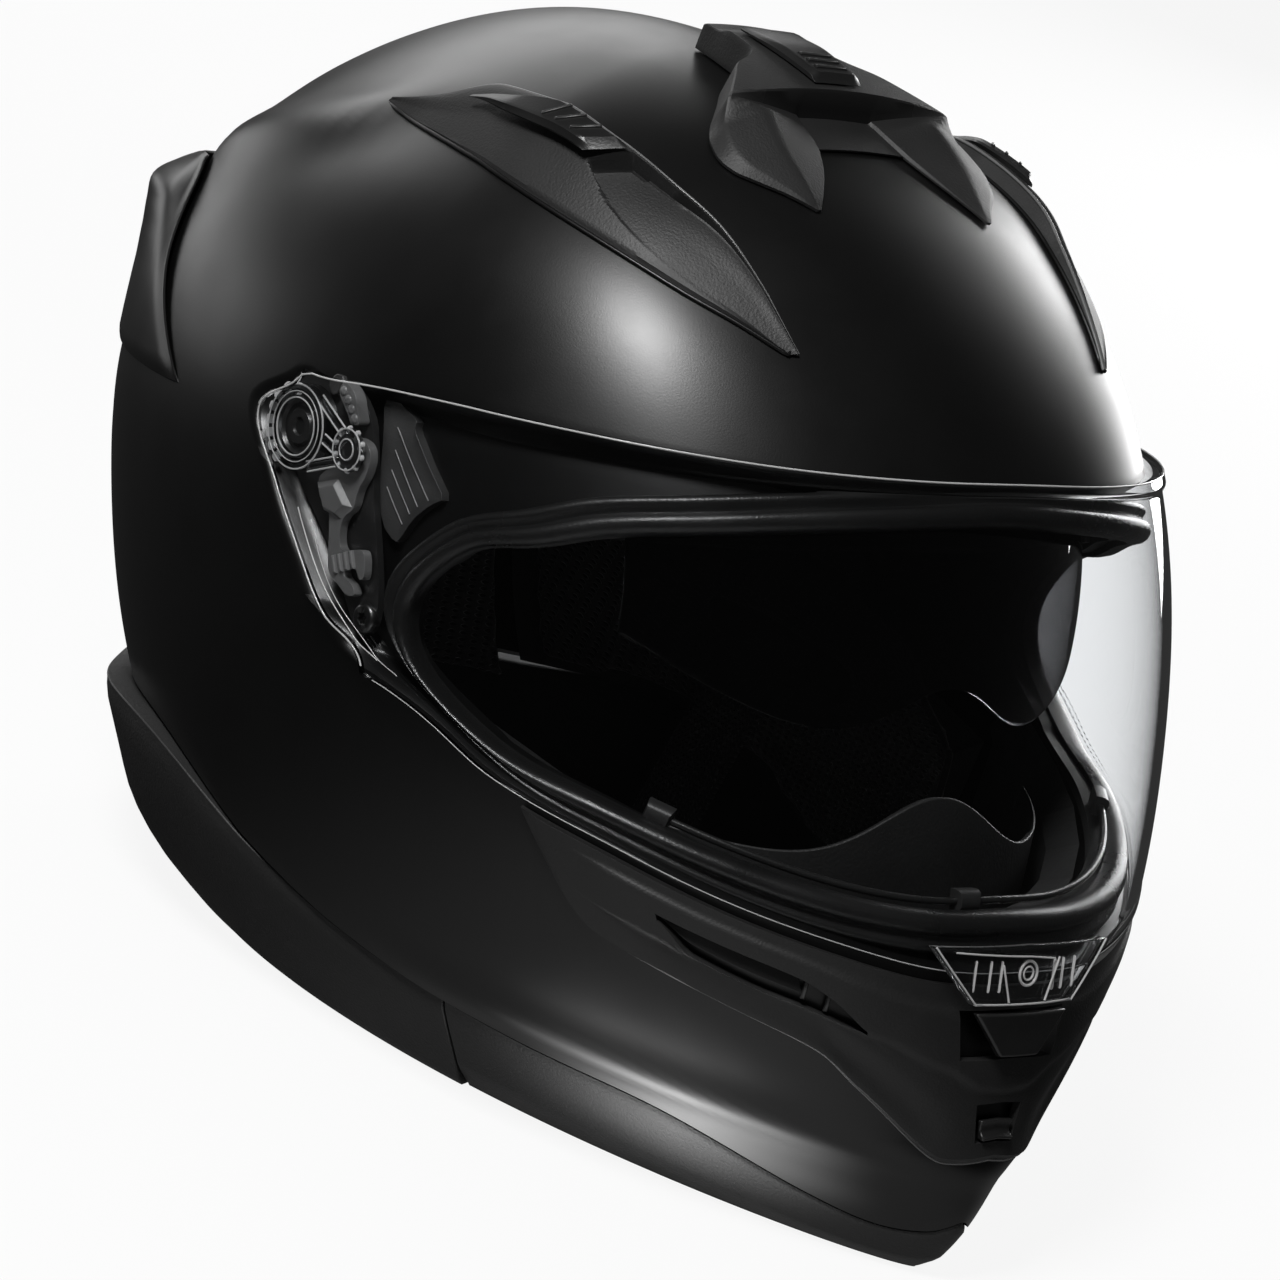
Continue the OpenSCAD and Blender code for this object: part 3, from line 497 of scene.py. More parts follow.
LACQUER = finish("satin black lacquer", .0022, .004, .33, .38, 2200, .05)
# Light grey for thin lines along lacquer edges: a painted highlight where a rolled edge would catch the key
# light.
PAINTED_HIGHLIGHT_LINE = finish("rubbed lacquer edge", .10, .16, .26, .32, 2200, .03)
GRAINED = finish("grained black trim", .009, .022, .50, .60, 1500, .3)
RIM = finish("rim trim", .014, .03, .52, .62, 1300, .4)
SMOOTH = finish("smooth black plastic", .008, .02, .30, .42, 1500, .12)
RUBBER = finish("gasket rubber", .007, .014, .24, .40, 1500, .25)
SOFT_RUBBER = finish("deflector rubber", .009, .02, .45, .6, 1100, .4)
NYLON = finish("grey nylon", .085, .15, .30, .42, 1500, .15)
DARK_NYLON = finish("dark grey nylon", .02, .04, .36, .46, 1500, .2)
# Pale diffuse grey for the edges, teeth and ribs of clear parts: painted highlights in place of the light they
# gather.
PAINTED_CLEAR_HIGHLIGHT = finish("bright edge of clear mouldings", .34, .5, .12, .2, 1500, .05)
# Near-black matte for inner walls that the lamps reach: painted shade.
PAINTED_SHADE = finish("unlit mouth", .0008, .001, .9, .95)
FOAM = finish("black bead foam", .008, .02, .6, .8, 260, .8)
DARK_STEEL = finish("blackened steel", .06, .2, .3, .45, 1500, .1, 1.0)
STEEL = finish("plated steel", .55, .7, .18, .3, 1500, .05, 1.0)
print(len(bpy.data.materials), "materials")

# %% [markdown]
# Clear parts need light to pass. A real sheet of glass in Cycles throws a black shadow,
# and light that leaves the helmet through it would count as seen through glass. So only
# what the camera looks through is glass; all other rays meet a plain transparent sheet.

# %% Clear finishes
def clear(name, tint, rough, ior, shade):
    mat, tree, skin = new_material(name)
    marked = placed(tree, marks, Scale=CLEAR_MARKS_SCALE, Low=rough, High=rough + .02)
    feed(tree, skin, {"Base Color": (*tint, 1), "Transmission Weight": 1, "IOR": ior,
                      "Roughness": marked.outputs["Roughness"]})
    through = node(tree, "ShaderNodeBsdfTransparent", Color=(*shade, 1))
    path = tree.nodes.new("ShaderNodeLightPath").outputs
    seen = math_node(tree, "MAXIMUM", path["Is Camera Ray"], path["Is Transmission Ray"])
    pick = feed(tree, tree.nodes.new("ShaderNodeMixShader"),
                {0: seen, 1: through.outputs["BSDF"], 2: skin.outputs["BSDF"]})
    tree.links.new(pick.outputs["Shader"], tree.nodes["Material Output"].inputs["Surface"])
    return mat


CLEAR = clear("clear polycarbonate", (.96, .97, .98), .0, 1.25, (.9, .9, .9))
CLEAR_SMALL = clear("clear fittings", (.9, .92, .94), .02, 1.45, (.7, .7, .7))
SMOKE = clear("smoke polycarbonate", (.12, .12, .125), .01, 1.3, (.12, .12, .13))


def fabric(name, weave, colour, hole_shade, depth):
    mat, tree, skin = new_material(name)
    woven = placed(tree, weave, Depth=depth)
    # The holes take a darker grey: painted shade in holes that have no depth of their own.
    feed(tree, skin, {"Roughness": .85, "Sheen Weight": .25, "Sheen Roughness": .4,
                      "Normal": woven.outputs["Normal"],
                      "Base Color": colour_mix(tree, woven.outputs["Hole"], grey(colour), grey(hole_shade))})
    return mat


NET_CLOTH = fabric("spacer mesh cloth", spacer, .035, .002, 1.0)
WEBBING = fabric("strap webbing", webbing, .02, .006, .7)
print("clear and cloth finishes ready")

# %% [markdown]
# The shell: a moulded bowl with the eyeport cut through it and a sunk seat round the
# eyeport, so that the closed visor lies flush. The rows of the grid crowd together at
# the seat's walls, which keeps their corners tight.

# %% Outer shell
SHELL_ROWS = np.concatenate([np.linspace(0, 1.95, 26), [2.0, 2.03, 2.06, 2.1, 2.14, 2.17, 2.2],
                             np.linspace(2.3, 2.9, 5), [2.97],
                             np.linspace(3, 6, 40), [6.03], np.linspace(6.15, 6.75, 5),
                             [6.8, 6.83, 6.86, 6.9, 6.94, 6.97, 7.0],
                             np.linspace(7.06, 10.8, 66), [10.9, 10.97, 11]])
half_cols = np.concatenate([np.linspace(0, 4.9, 50), [4.97, 5.0, 5.03], np.linspace(5.15, 5.9, 7),
                            [5.95, 5.97, 6.0, 6.03, 6.06, 6.09, 6.12, 6.15], np.linspace(6.25, 9, 28)])
SHELL_COLS = np.concatenate([-half_cols[::-1][1:-1], half_cols])
SEAT = 8.0


def seat_depth(r, q):
    return step(2.02, 2.18, r) * (1 - step(6.82, 6.98, r)) * (1 - step(5.97, 6.12, np.abs(q)))


def put(piece, mat):
    piece.data.materials.clear()
    piece.data.materials.append(mat)
    return piece


rr, qq = grid(SHELL_ROWS, SHELL_COLS)
v, u = net(rr, qq)
sunk = seat_depth(rr, qq)
cut = (rr[:-1] >= 3) & (rr[:-1] < 6 - 1e-6)
cell_q = np.append(SHELL_COLS[1:], SHELL_COLS[0] + 18)
mid_q = (SHELL_COLS + cell_q) / 2
cut &= (np.abs(mid_q) < 5)[None, :]
shell = put(slab("shell", on_net(rr, qq, mix(form(u, v), -SEAT, sunk)), on_net(rr, qq, -4 - SEAT * sunk), "shell",
                 ["outer_shell"], wrap=True, pole=True, gone=cut, bevel=.5), LACQUER)
shell.data.materials.append(PAINTED_SHADE)
# Faces turned toward the inside take the near-black matte: painted shade inside the shell.
for face in shell.data.polygons:
    way = face.center - Vector((0, 0, .12))
    if face.normal.dot(way) < -.5 * way.length:
        face.material_index = 1
print("shell faces:", len(shell.data.polygons))

# %% [markdown]
# The gasket is a rubber extrusion that runs round the eyeport: one section, carried
# along a closed path. A curve with a bevel object would twist in the corners, so the
# section's points are placed directly, each a set distance out from the opening's edge.

# %% Eyeport gasket
def opening_path(steps_side=16, steps_long=110):
    q = np.linspace(-5, 5, steps_long)
    r = np.linspace(3, 6, steps_side)[1:-1]
    edge = [net(np.full_like(q, 3), q), net(r, np.full_like(r, 5)), net(np.full_like(q, 6), -q),
            net(r[::-1], np.full_like(r, -5))]
    away = [net(np.full_like(q, 2), q), net(r, np.full_like(r, 6)), net(np.full_like(q, 7), -q),
            net(r[::-1], np.full_like(r, -6))]
    a = np.concatenate([np.stack(e, -1) for e in edge])
    b = np.concatenate([np.stack(e, -1) for e in away])
    gap = np.linalg.norm(surface(b[:, 1], b[:, 0]) - surface(a[:, 1], a[:, 0]), axis=1)
    d = (b - a) / gap[:, None]
    for _ in range(40):
        d = (np.roll(d, 1, 0) + 2 * d + np.roll(d, -1, 0)) / 4
    for _ in range(6):
        a = (np.roll(a, 1, 0) + 2 * a + np.roll(a, -1, 0)) / 4
    return a, d


PATH, AWAY = opening_path()


def round_path(w, h):
    """The gasket's path moved w mm out from the opening's edge, at height h."""
    p = PATH + AWAY * w
    return surface(p[:, 1], p[:, 0]) + h * normal(p[:, 1], p[:, 0])


def tube(name, sections, body, mat, replaces=(), smooth=50):
    """Closed section carried along a closed path: a ring of rings."""
    g = np.stack(sections)
    m, n = g.shape[:2]
    faces = [(i * n + j, i * n + (j + 1) % n, ((i + 1) % m) * n + (j + 1) % n, ((i + 1) % m) * n + j)
             for i in range(m) for j in range(n)]
    return put(face_out(finish_mesh(name, g.reshape(-1, 3), faces, body, replaces, smooth)), mat)


LIP = [(-1.6, -7.4), (-1.9, -5), (-1.6, -3), (-.8, -1.7), (.4, -.9), (1.8, -.7), (3, -1.0), (3.7, -1.9),
       (4.3, -2.6), (5.2, -2.5), (6.2, -1.7),
       (7.2, -1.5), (8.2, -2.0), (8.8, -3.4), (9, -5.5), (9, -7.9), (4, -7.9)]
tube("gasket", [round_path(w, h) for w, h in LIP], "shell", RUBBER, ["eyeport_gasket"])
print("gasket section points:", len(LIP))

# %% [markdown]
# The clear visor is moulded to the skin but runs flat near its pivots, so that it can
# turn. Its upper lip stands a little proud, which is what a gloved thumb finds.

# %% Clear visor
PIVOT = np.array([2.0, 153.0])


def visor_points(r, q, h, side):
    p = on_net(r, q, h)
    d = np.hypot(p[..., 1] - PIVOT[0], p[..., 2] - PIVOT[1])
    w = np.where(np.abs(p[..., 0]) < 60, 0, 1 - step(26, 58, d))
    p[..., 0] = np.sign(p[..., 0]) * mix(np.abs(p[..., 0]), side, w)
    return p


VISOR_ROWS = np.concatenate([[2.03, 2.06, 2.1], np.linspace(2.2, 6.6, 46), np.linspace(6.64, 6.9, 9),
                             [6.94, 6.97]])
rr, qq = grid(VISOR_ROWS, np.linspace(-5.985, 5.985, 190))
lip = 1.3 * step(6.68, 6.84, rr) + .35 * (1 - step(2.05, 2.25, rr)) + .35 * step(5.86, 5.95, np.abs(qq))
visor = put(slab("visor_sheet", visor_points(rr, qq, 3.6 + lip, 125.0),
                 visor_points(rr, qq, 1.2 + .6 * lip, 122.6), "visor",
                 ["visor"], bevel=.45), CLEAR)
print("visor faces:", len(visor.data.polygons))

# %% [markdown]
# Screws, ridges, teeth and stitches are the same small form set down many times. They
# could be copied by hand, but one Geometry Nodes tree does it for all: it sows a unit
# form on points, turned to the facing and the direction that each point carries.

# %% The sowing tree
sow = bpy.data.node_groups.new("sow small forms", "GeometryNodeTree")
for n, kind in (("Points", "Geometry"), ("Form", "Object"), ("Length", "Float"), ("Width", "Float"),
                ("Height", "Float"), ("Finish", "Material")):
    sow.interface.new_socket(name=n, in_out="INPUT", socket_type="NodeSocket" + kind)
sow.interface.new_socket(name="Forms", in_out="OUTPUT", socket_type="NodeSocketGeometry")
SOW_ID = {s.name: s.identifier for s in sow.interface.items_tree if s.in_out == "INPUT"}
given, made = sow.nodes.new("NodeGroupInput"), sow.nodes.new("NodeGroupOutput")
turns = []
for key, axis in (("facing", "Z"), ("along", "X")):
    carried = sow.nodes.new("GeometryNodeInputNamedAttribute")
    carried.data_type = "FLOAT_VECTOR"
    carried.inputs["Name"].default_value = key
    turn = sow.nodes.new("FunctionNodeAlignRotationToVector")
    turn.axis = axis
    turn.pivot_axis = "AUTO" if axis == "Z" else "Z"
    sow.links.new(carried.outputs["Attribute"], turn.inputs["Vector"])
    if turns:
        sow.links.new(turns[-1].outputs["Rotation"], turn.inputs["Rotation"])
    turns.append(turn)
size = sow.nodes.new("ShaderNodeCombineXYZ")
for axis, key in (("X", "Length"), ("Y", "Width"), ("Z", "Height")):
    sow.links.new(given.outputs[key], size.inputs[axis])
form_in = sow.nodes.new("GeometryNodeObjectInfo")
each = sow.nodes.new("GeometryNodeInstanceOnPoints")
real = sow.nodes.new("GeometryNodeRealizeInstances")
paint = sow.nodes.new("GeometryNodeSetMaterial")
sow.links.new(given.outputs["Form"], form_in.inputs["Object"])
sow.links.new(given.outputs["Points"], each.inputs["Points"])
sow.links.new(form_in.outputs["Geometry"], each.inputs["Instance"])
sow.links.new(turns[-1].outputs["Rotation"], each.inputs["Rotation"])
sow.links.new(size.outputs["Vector"], each.inputs["Scale"])
sow.links.new(each.outputs["Instances"], real.inputs["Geometry"])
sow.links.new(real.outputs["Geometry"], paint.inputs["Geometry"])
sow.links.new(given.outputs["Finish"], paint.inputs["Material"])
sow.links.new(paint.outputs["Geometry"], made.inputs["Forms"])
print("sowing tree:", len(sow.nodes), "nodes")

# %% [markdown]
# What the tree sows is one small closed form in a unit box: a bar, which also serves as a
# tooth, a bead or a screw head. Each is built once, out of rings or corners, and scaled where it is used.

# %% Unit forms to sow
def unit_form(name, verts, faces):
    mesh = bpy.data.meshes.new(name)
    mesh.from_pydata(verts, [], faces)
    return new_object(name, mesh)


def stacked(name, rings):
    """Closed form from rings of points, the first at the bottom."""
    n = len(rings[0])
    verts = [tuple(p) for ring in rings for p in ring]
    faces = [(i * n + j, i * n + (j + 1) % n, (i + 1) * n + (j + 1) % n, (i + 1) * n + j)
             for i in range(len(rings) - 1) for j in range(n)]
    return unit_form(name, verts,
                     faces + [tuple(range(n))[::-1], tuple(range((len(rings) - 1) * n, len(rings) * n))])


def box_ring(x, y, z):
    return [(-x, -y, z), (x, -y, z), (x, y, z), (-x, y, z)]


def star_ring(r, z, star=0.0, n=36):
    return [((r + star * math.cos(6 * a)) * math.cos(a), (r + star * math.cos(6 * a)) * math.sin(a), z)
            for a in [2 * math.pi * k / n for k in range(n)]]


BAR = stacked("unit_bar",
              [box_ring(.5, .5, 0), box_ring(.5, .5, .55), box_ring(.46, .38, .88), box_ring(.42, .22, 1)])
BEAD = stacked("unit_bead",
               [[(.5 * r * math.cos(k * math.pi / 6), .5 * r * math.sin(k * math.pi / 6), z) for k in range(12)]
                             for r, z in ((1, 0), (.97, .3), (.8, .66), (.5, .9), (.15, 1))])
SCREW = stacked("unit_screw", [star_ring(1, 0), star_ring(1, .62), star_ring(.93, .86), star_ring(.78, 1),
                               star_ring(.5, 1.0),
                               star_ring(.42, .96, .05), star_ring(.38, .9, .06), star_ring(.36, .35, .06)])


def sown(name, points, facing, along, unit, sizes, mat, body):
    """Sizes are length, width and height in mm. Facing and along may be one vector for all."""
    points = np.asarray(points, float).reshape(-1, 3)
    mesh = bpy.data.meshes.new(name)
    mesh.from_pydata([tuple(p) for p in points * MM], [], [])
    for key, vec in (("facing", facing), ("along", along)):
        held = mesh.attributes.new(key, "FLOAT_VECTOR", "POINT")
        held.data.foreach_set("vector", np.broadcast_to(np.asarray(vec, float), points.shape).ravel())
    host = new_object(name + "_points", mesh)
    m = host.modifiers.new("sow", "NODES")
    m.node_group = sow
    m[SOW_ID["Form"]], m[SOW_ID["Finish"]] = unit, mat
    for key, value in zip(("Length", "Width", "Height"), sizes):
        m[SOW_ID[key]] = value * MM
    result = bpy.data.meshes.new_from_object(host.evaluated_get(bpy.context.evaluated_depsgraph_get()))
    bpy.data.objects.remove(host)
    result.name = name
    result.set_sharp_from_angle(angle=math.radians(40))
    piece = new_object(name, result)
    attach(piece, body)
    return piece


print("unit forms: bar, bead, screw")

# %% [markdown]
# Under the clear visor lie flat plates, levers and turned rings. A plate is an outline
# with its corners cut round, filled and given a thickness; a turned ring is a profile
# carried round an axis that runs across the helmet. Both sides come from one drawing.

# %% Plates, turned pieces and rods


def tidy(piece):
    bm = bmesh.new()
    bm.from_mesh(piece.data)
    bmesh.ops.remove_doubles(bm, verts=bm.verts, dist=2e-6)
    bmesh.ops.dissolve_degenerate(bm, edges=bm.edges, dist=1e-6)
    bmesh.ops.recalc_face_normals(bm, faces=bm.faces)
    bm.to_mesh(piece.data)
    bm.free()
    piece.data.shade_smooth()
    piece.data.set_sharp_from_angle(angle=math.radians(38))
    return piece


def round_off(points, times=2):
    """Cuts every corner of a closed outline, again and again."""
    p = np.asarray(points, float)
    for _ in range(times):
        q = np.roll(p, -1, 0)
        p = np.stack([.75 * p + .25 * q, .25 * p + .75 * q], 1).reshape(-1, p.shape[1])
    return p


def plate(name, side, outline, x0, x1, body, mat, replaces=(), holes=(), bevel=.3, rounds=2, grow=0.0):
    """Flat piece from x0 (outside) to x1, in mm from the middle. Holes are (y, z, radius)."""
    turn = np.linspace(0, 2 * math.pi, 28, endpoint=False)
    rings = [round_off(outline, rounds)] + [np.stack([y + r * np.cos(turn), z + r * np.sin(turn)], -1)
                                            for y, z, r in holes]
    flat = np.concatenate(rings)
    n = len(flat)
    middle = rings[0].mean(0)
    outer = middle + (flat - middle) * (1 - grow)
    verts = np.concatenate([np.column_stack([np.full(n, side * x0), outer]),
                            np.column_stack([np.full(n, side * x1), flat])])
    tris = tessellate_polygon([[Vector((*p, 0)) for p in ring] for ring in rings])
    faces = [tuple(t) for t in tris] + [tuple(n + k for k in t[::-1]) for t in tris]
    start = 0
    for ring in rings:
        m = len(ring)
        faces += [(start + i, start + (i + 1) % m, n + start + (i + 1) % m, n + start + i) for i in range(m)]
        start += m
    piece = put(tidy(finish_mesh(name, verts, faces, body, replaces)), mat)
    return soften(piece, bevel) if bevel else piece


def turned(name, side, centre, profile, body, mat, replaces=(), slot=None, n=72):
    """Ring or knob: the profile is radius and distance from the middle, closed."""
    turn = np.linspace(0, 2 * math.pi, n, endpoint=False)
    rings = [np.column_stack([np.full(n, side * x), centre[0] + r * np.cos(turn),
                              centre[1] + r * np.sin(turn)]) for r, x in profile]
    return tidy(tube(name, rings, body, mat, replaces))


def rod(name, points, radius, body, mat, closed=False, sides=8, flat=1.0):
    """Thin round line along points in mm."""
    p = np.asarray(points, float)
    t = (np.roll(p, -1, 0) - np.roll(p, 1, 0)) if closed else np.gradient(p, axis=0)
    t /= np.linalg.norm(t, axis=1, keepdims=True)
    a = np.cross(t[0], [.3, .2, .9])
    rings = []
    for k in range(len(p)):
        a = a - t[k] * (a @ t[k])
        a /= np.linalg.norm(a)
        b = np.cross(t[k], a)
        rings.append([p[k] + radius * (math.cos(w) * a + flat * math.sin(w) * b)
                      for w in np.linspace(0, 2 * math.pi, sides, endpoint=False)])
    g, m, s = np.array(rings).reshape(-1, 3), len(p), sides
    faces = [(i * s + j, i * s + (j + 1) % s, ((i + 1) % m) * s + (j + 1) % s, ((i + 1) % m) * s + j)
             for i in range(m if closed else m - 1) for j in range(s)]
    if not closed:
        faces += [tuple(range(s))[::-1], tuple(range((m - 1) * s, m * s))]
    return put(face_out(finish_mesh(name, g, faces, body, (), 60)), mat)


print("plate, turned piece and rod makers ready")

# %% [markdown]
# The visor turns on a clear ring at each end. The ring has a stepped rim, a row of teeth
# that the rack and the lever catch, and three ribs out to a small hub. They are clear
# mouldings, so what shows of them is mostly their bright edges; these are painted
# highlights, rods, teeth and knobs in a pale grey finish.

# %% Pivot rings, teeth, ribs and hubs
RING = [(7.1, 117.4), (7.1, 121.7), (7.5, 122.35), (8.0, 122.4), (8.4, 121.8), (9.1, 121.8), (9.5, 122.35),
        (10.5, 122.4), (11, 121.9), (11, 120.2),
        (11.0, 117.4)]
HUB = [(0, 121.2), (5.5, 121.2), (5.7, 121.9), (5.0, 122.4), (4.3, 122.4), (3.9, 121.8), (3.2, 121.8),
       (2.9, 122.4), (1.9, 122.45), (1.5, 121.8), (0, 121.8)]
for side, word in ((-1, "right"), (1, "left")):
    turned("visor_ring_" + word, side, PIVOT, RING, "visor", CLEAR_SMALL, ["visor_pivot_ring_" + word],
           "clear_polycarbonate")
    hub = PIVOT + [-20.6, 2.4]
    turned("visor_hub_" + word, side, hub, HUB, "visor", CLEAR_SMALL, slot="clear_polycarbonate", n=40)
    turns_at = np.radians(np.arange(-65, 42, 17.5))
    teeth = [[side * 120.9, PIVOT[0] + 10.8 * math.cos(a), PIVOT[1] + 10.8 * math.sin(a)] for a in turns_at]
    sown("visor_teeth_" + word, teeth, [[0, math.cos(a), math.sin(a)] for a in turns_at], [side, 0, 0], BAR,
         (2.0, 2.3, 1.6), PAINTED_CLEAR_HIGHLIGHT, "visor")
    ribs = [((-5.9, 9.9), (-17.6, 5.6)), ((-10.9, 1.3), (-15.6, .6)), ((-7.9, -7.6), (-17.3, -2.2))]
    for k, (a, b) in enumerate(ribs):
        a, b = np.array(a), np.array(b)
        edge = np.array([a[1] - b[1], b[0] - a[0]]) / np.linalg.norm(b - a)
        for m, (off, r, mat) in enumerate(((0, .8, CLEAR_SMALL), (1.25, .27, PAINTED_CLEAR_HIGHLIGHT),
                                           (-1.25, .27, PAINTED_CLEAR_HIGHLIGHT))):
            rod("visor_rib_%s_%d_%d" % (word, k + 1, m),
                [[side * (121.55 + .3 * (m > 0)), *(PIVOT + a + off * edge + t * (b - a))]
                 for t in np.linspace(0, 1, 6)],
                r, "visor", mat)
    # Pale rings round the pivot and the hub: painted highlights on the clear ring's steps.
    round_at = np.linspace(0, 2 * math.pi, 48, endpoint=False)
    for k, (centre, r) in enumerate(((PIVOT, 7.3), (PIVOT, 8.9), (PIVOT, 10.7), (hub, 2.6), (hub, 5.2))):
        rod("visor_bright_ring_%s_%d" % (word, k + 1),
            [[side * 122.3, centre[0] + r * math.cos(a), centre[1] + r * math.sin(a)] for a in round_at],
            .24 if r != 8.9 else .16, "visor", PAINTED_CLEAR_HIGHLIGHT, closed=True)
    knobs = np.radians(np.arange(0, 360, 36))
    sown("visor_hub_knobs_" + word, [[side * 121.3, hub[0] + 5.2 * math.cos(a), hub[1] + 5.2 * math.sin(a)]
                                     for a in knobs], [side, 0, 0], [0, 0, 1],
         BEAD, (1.7, 1.7, 1.0), PAINTED_CLEAR_HIGHLIGHT, "visor")
print("ring outer diameter 22 mm, bore 14.2 mm")

# %% [markdown]
# Under the ring sits a dark boss, and both stand on a thin base plate screwed to the
# shell. The plate carries the visor's load, so it is one stamping-like moulding with a
# long leg down to its screw; a second leaf with four fine diagonal lines runs forward.

# %% Bosses, base plates and screws
BOSS = [(0, 120.6), (2.0, 120.6), (2.4, 121.3), (4.3, 121.3), (5.0, 120.4), (6.3, 120.4), (6.95, 121.2),
        (6.98, 116.8), (0, 116.8)]
LEG = [[12.5, 3], [10.5, 10.5], [3, 15], [-8, 16.5], [-19, 12], [-24, 3], [-29, -8], [-35, -18], [-41, -29],
       [-42.5, -37], [-38, -40.5], [-32, -37],
       [-24, -29], [-15, -22.5], [-5, -17], [1, -13], [9, -6]]
leaf_skin = net(*np.meshgrid(np.linspace(3.2, 6.9, 60), np.linspace(4.4, 5.99, 50)))
LEAF_AT = surface(leaf_skin[1], leaf_skin[0]).reshape(-1, 3)
LEAF_AWAY = normal(leaf_skin[1], leaf_skin[0]).reshape(-1, 3)


def seat_x(y, z, h):
    """How far out the seat lies at a place seen from the side."""
    at = LEAF_AT + h * LEAF_AWAY
    d = np.hypot(at[:, 1] - y, at[:, 2] - z)
    near = np.argsort(d)[:6]
    w = 1 / (d[near] + .05)
    return float((np.abs(at[near, 0]) * w).sum() / w.sum())


LEAF = [(-14.5, 168), (-18, 169.3), (-22.1, 168.2), (-27.2, 167.6), (-27.4, 165), (-33.4, 160.8),
        (-38.5, 157.3), (-44.6, 153.4), (-41.4, 150.6), (-37.9, 145),
        (-36.7, 140.1), (-35.5, 137.5), (-29.4, 140.3), (-24.3, 149), (-19.4, 160)]
for side, word in ((-1, "right"), (1, "left")):
    turned("pivot_boss_dark_" + word, side, PIVOT, BOSS, "shell", SMOOTH, ["pivot_boss_" + word],
           "trim_grained_black")
    plate("base_plate_" + word, side, PIVOT + np.array(LEG), 116.7, 114.7, "shell", SMOOTH,
          ["pivot_base_plate_" + word],
          holes=[(-37, 118, 2.1), (-17.5, 137.5, 4.4)], bevel=.4)
    leaf = round_off(LEAF, 1)
    top = np.array([[side * seat_x(y, z, -5.6), y, z] for y, z in leaf])
    low = np.array([[side * seat_x(y, z, -7.6), y, z] for y, z in leaf])
    middle = top.mean(0)
    slab("plate_leaf_" + word,
         np.stack([low, top, middle + (top - middle) * .5, np.repeat(middle[None], len(leaf), 0)]),
         np.stack([low - [side * .6, 0, 0]] * 3
                  + [np.repeat(low.mean(0)[None] - [[side * .6, 0, 0]], len(leaf), 0)]), "shell", (),
         wrap=True, bevel=.3)
    put(tidy(bpy.data.objects["plate_leaf_" + word]), DARK_NYLON)
    for k, ((y0, z0), (y1, z1)) in enumerate([((-27, 149.2), (-35.6, 142.8)), ((-26.4, 153.5), (-36.7, 146)),
                                              ((-25, 158.2), (-38.1, 148.6)),
                                               ((-22.6, 163.4), (-40.4, 151.2))]):
        line = [[side * (seat_x(y0 + t * (y1 - y0), z0 + t * (z1 - z0), -5.5)), y0 + t * (y1 - y0),
                 z0 + t * (z1 - z0)] for t in np.linspace(0, 1, 8)]
        rod("leaf_line_%s_%d" % (word, k + 1), line, .2, "shell", NYLON)
screws = sown("pivot_screw_heads", [[-116.8, -37, 118], [116.8, -37, 118]], [[-1, 0, 0], [1, 0, 0]], [0, 0, 1],
              SCREW, (3.8, 3.8, 1.9), DARK_STEEL,
              "shell")
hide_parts("pivot_screws")
print("screws:", len(screws.data.polygons), "faces")

# %% [markdown]
# The quick-release lever and the toothed rack are the grey nylon parts that the eye
# finds first. The lever is a thin arm with a bevelled thumb block at its top and a
# ridged end with two hooks; the rack is a lumpy spring with rounded teeth.

# %% Release levers and racks
ARM = [(-24.9, 156.2), (-22.3, 158.7), (-17.7, 158.7), (-15.2, 156), (-14.2, 150), (-10.6, 146.6),
       (-8.2, 143.6), (-11, 138.8), (-15.8, 138), (-17.8, 133),
       (-19.8, 127.6), (-21.6, 123.4), (-26.6, 122.3), (-30.2, 121.0), (-33.6, 122.4), (-31.6, 124.5),
       (-27.6, 125), (-26.6, 127), (-28.4, 129),
       (-31.2, 128.6), (-33.2, 126.4), (-34.8, 127.8), (-33, 132.6), (-30.8, 134.2), (-24.4, 130),
       (-21.6, 133.4), (-21.2, 138.6), (-24.2, 141.6),
       (-23.6, 147), (-25.2, 151)]
BLOCK = [(-8.4, 142.4), (-15.8, 146.6), (-23.8, 142), (-21, 137.6), (-13.6, 137)]
TEETH = [[-9.4, 13.4], [-10.2, 16.4], [-13, 16.6], [-16.4, 14.8], [-18, 12.2], [-20.6, 9], [-17.2, 7.6],
         [-15.4, 9.4], [-12.8, 11.2]]
TAB = [[-3, 16], [-8, 16.6], [-7.4, 10.8], [-3.8, 11.8]]
for side, word in ((-1, "right"), (1, "left")):
    body = "release_lever_" + word
    plate("lever_arm_" + word, side, ARM, 119.6, 117.2, body, NYLON, ["release_lever_" + word],
          holes=[(-20, 154, 2.7)], bevel=.45)
    plate("lever_block_" + word, side, BLOCK, 121.1, 119.4, body, NYLON, (), bevel=.15,
          rounds=0, grow=.34)
    ridge = np.stack([np.full(4, side * 119.4), np.linspace(-23.4, -29.2, 4), np.linspace(126.6, 130.4, 4)], -1)
    sown("lever_ridges_" + word, ridge, [side, 0, 0], [0, .55, .83], BAR, (4.6, 1.1, 1.1), NYLON, body)
    plate("rack_%s" % word, side, PIVOT + np.array(TEETH), 120.2, 117.1, "shell", NYLON,
          ["detent_rack_" + word], bevel=.6, rounds=2)
    plate("rack_tab_" + word, side, PIVOT + np.array(TAB), 118.6, 117.0, "shell", DARK_NYLON, (),
          bevel=.3, rounds=1)
    lumps = PIVOT + np.array([[-11.4, 14.4], [-13.9, 13], [-16, 11.3], [-18, 9.6]])
    sown("rack_lumps_" + word, [[side * 120.0, *p] for p in lumps], [side, 0, 0], [0, 0, 1], BEAD,
         (2.6, 2.6, .8), NYLON, "shell")
print("lever arm outline:", len(ARM), "corners")

# %% [markdown]
# A sheet of clear plastic is seen mostly by its edges, which gather light. A thin pale rod
# runs round the visor's edge and two fine pale lines follow its rear edges: painted highlights.

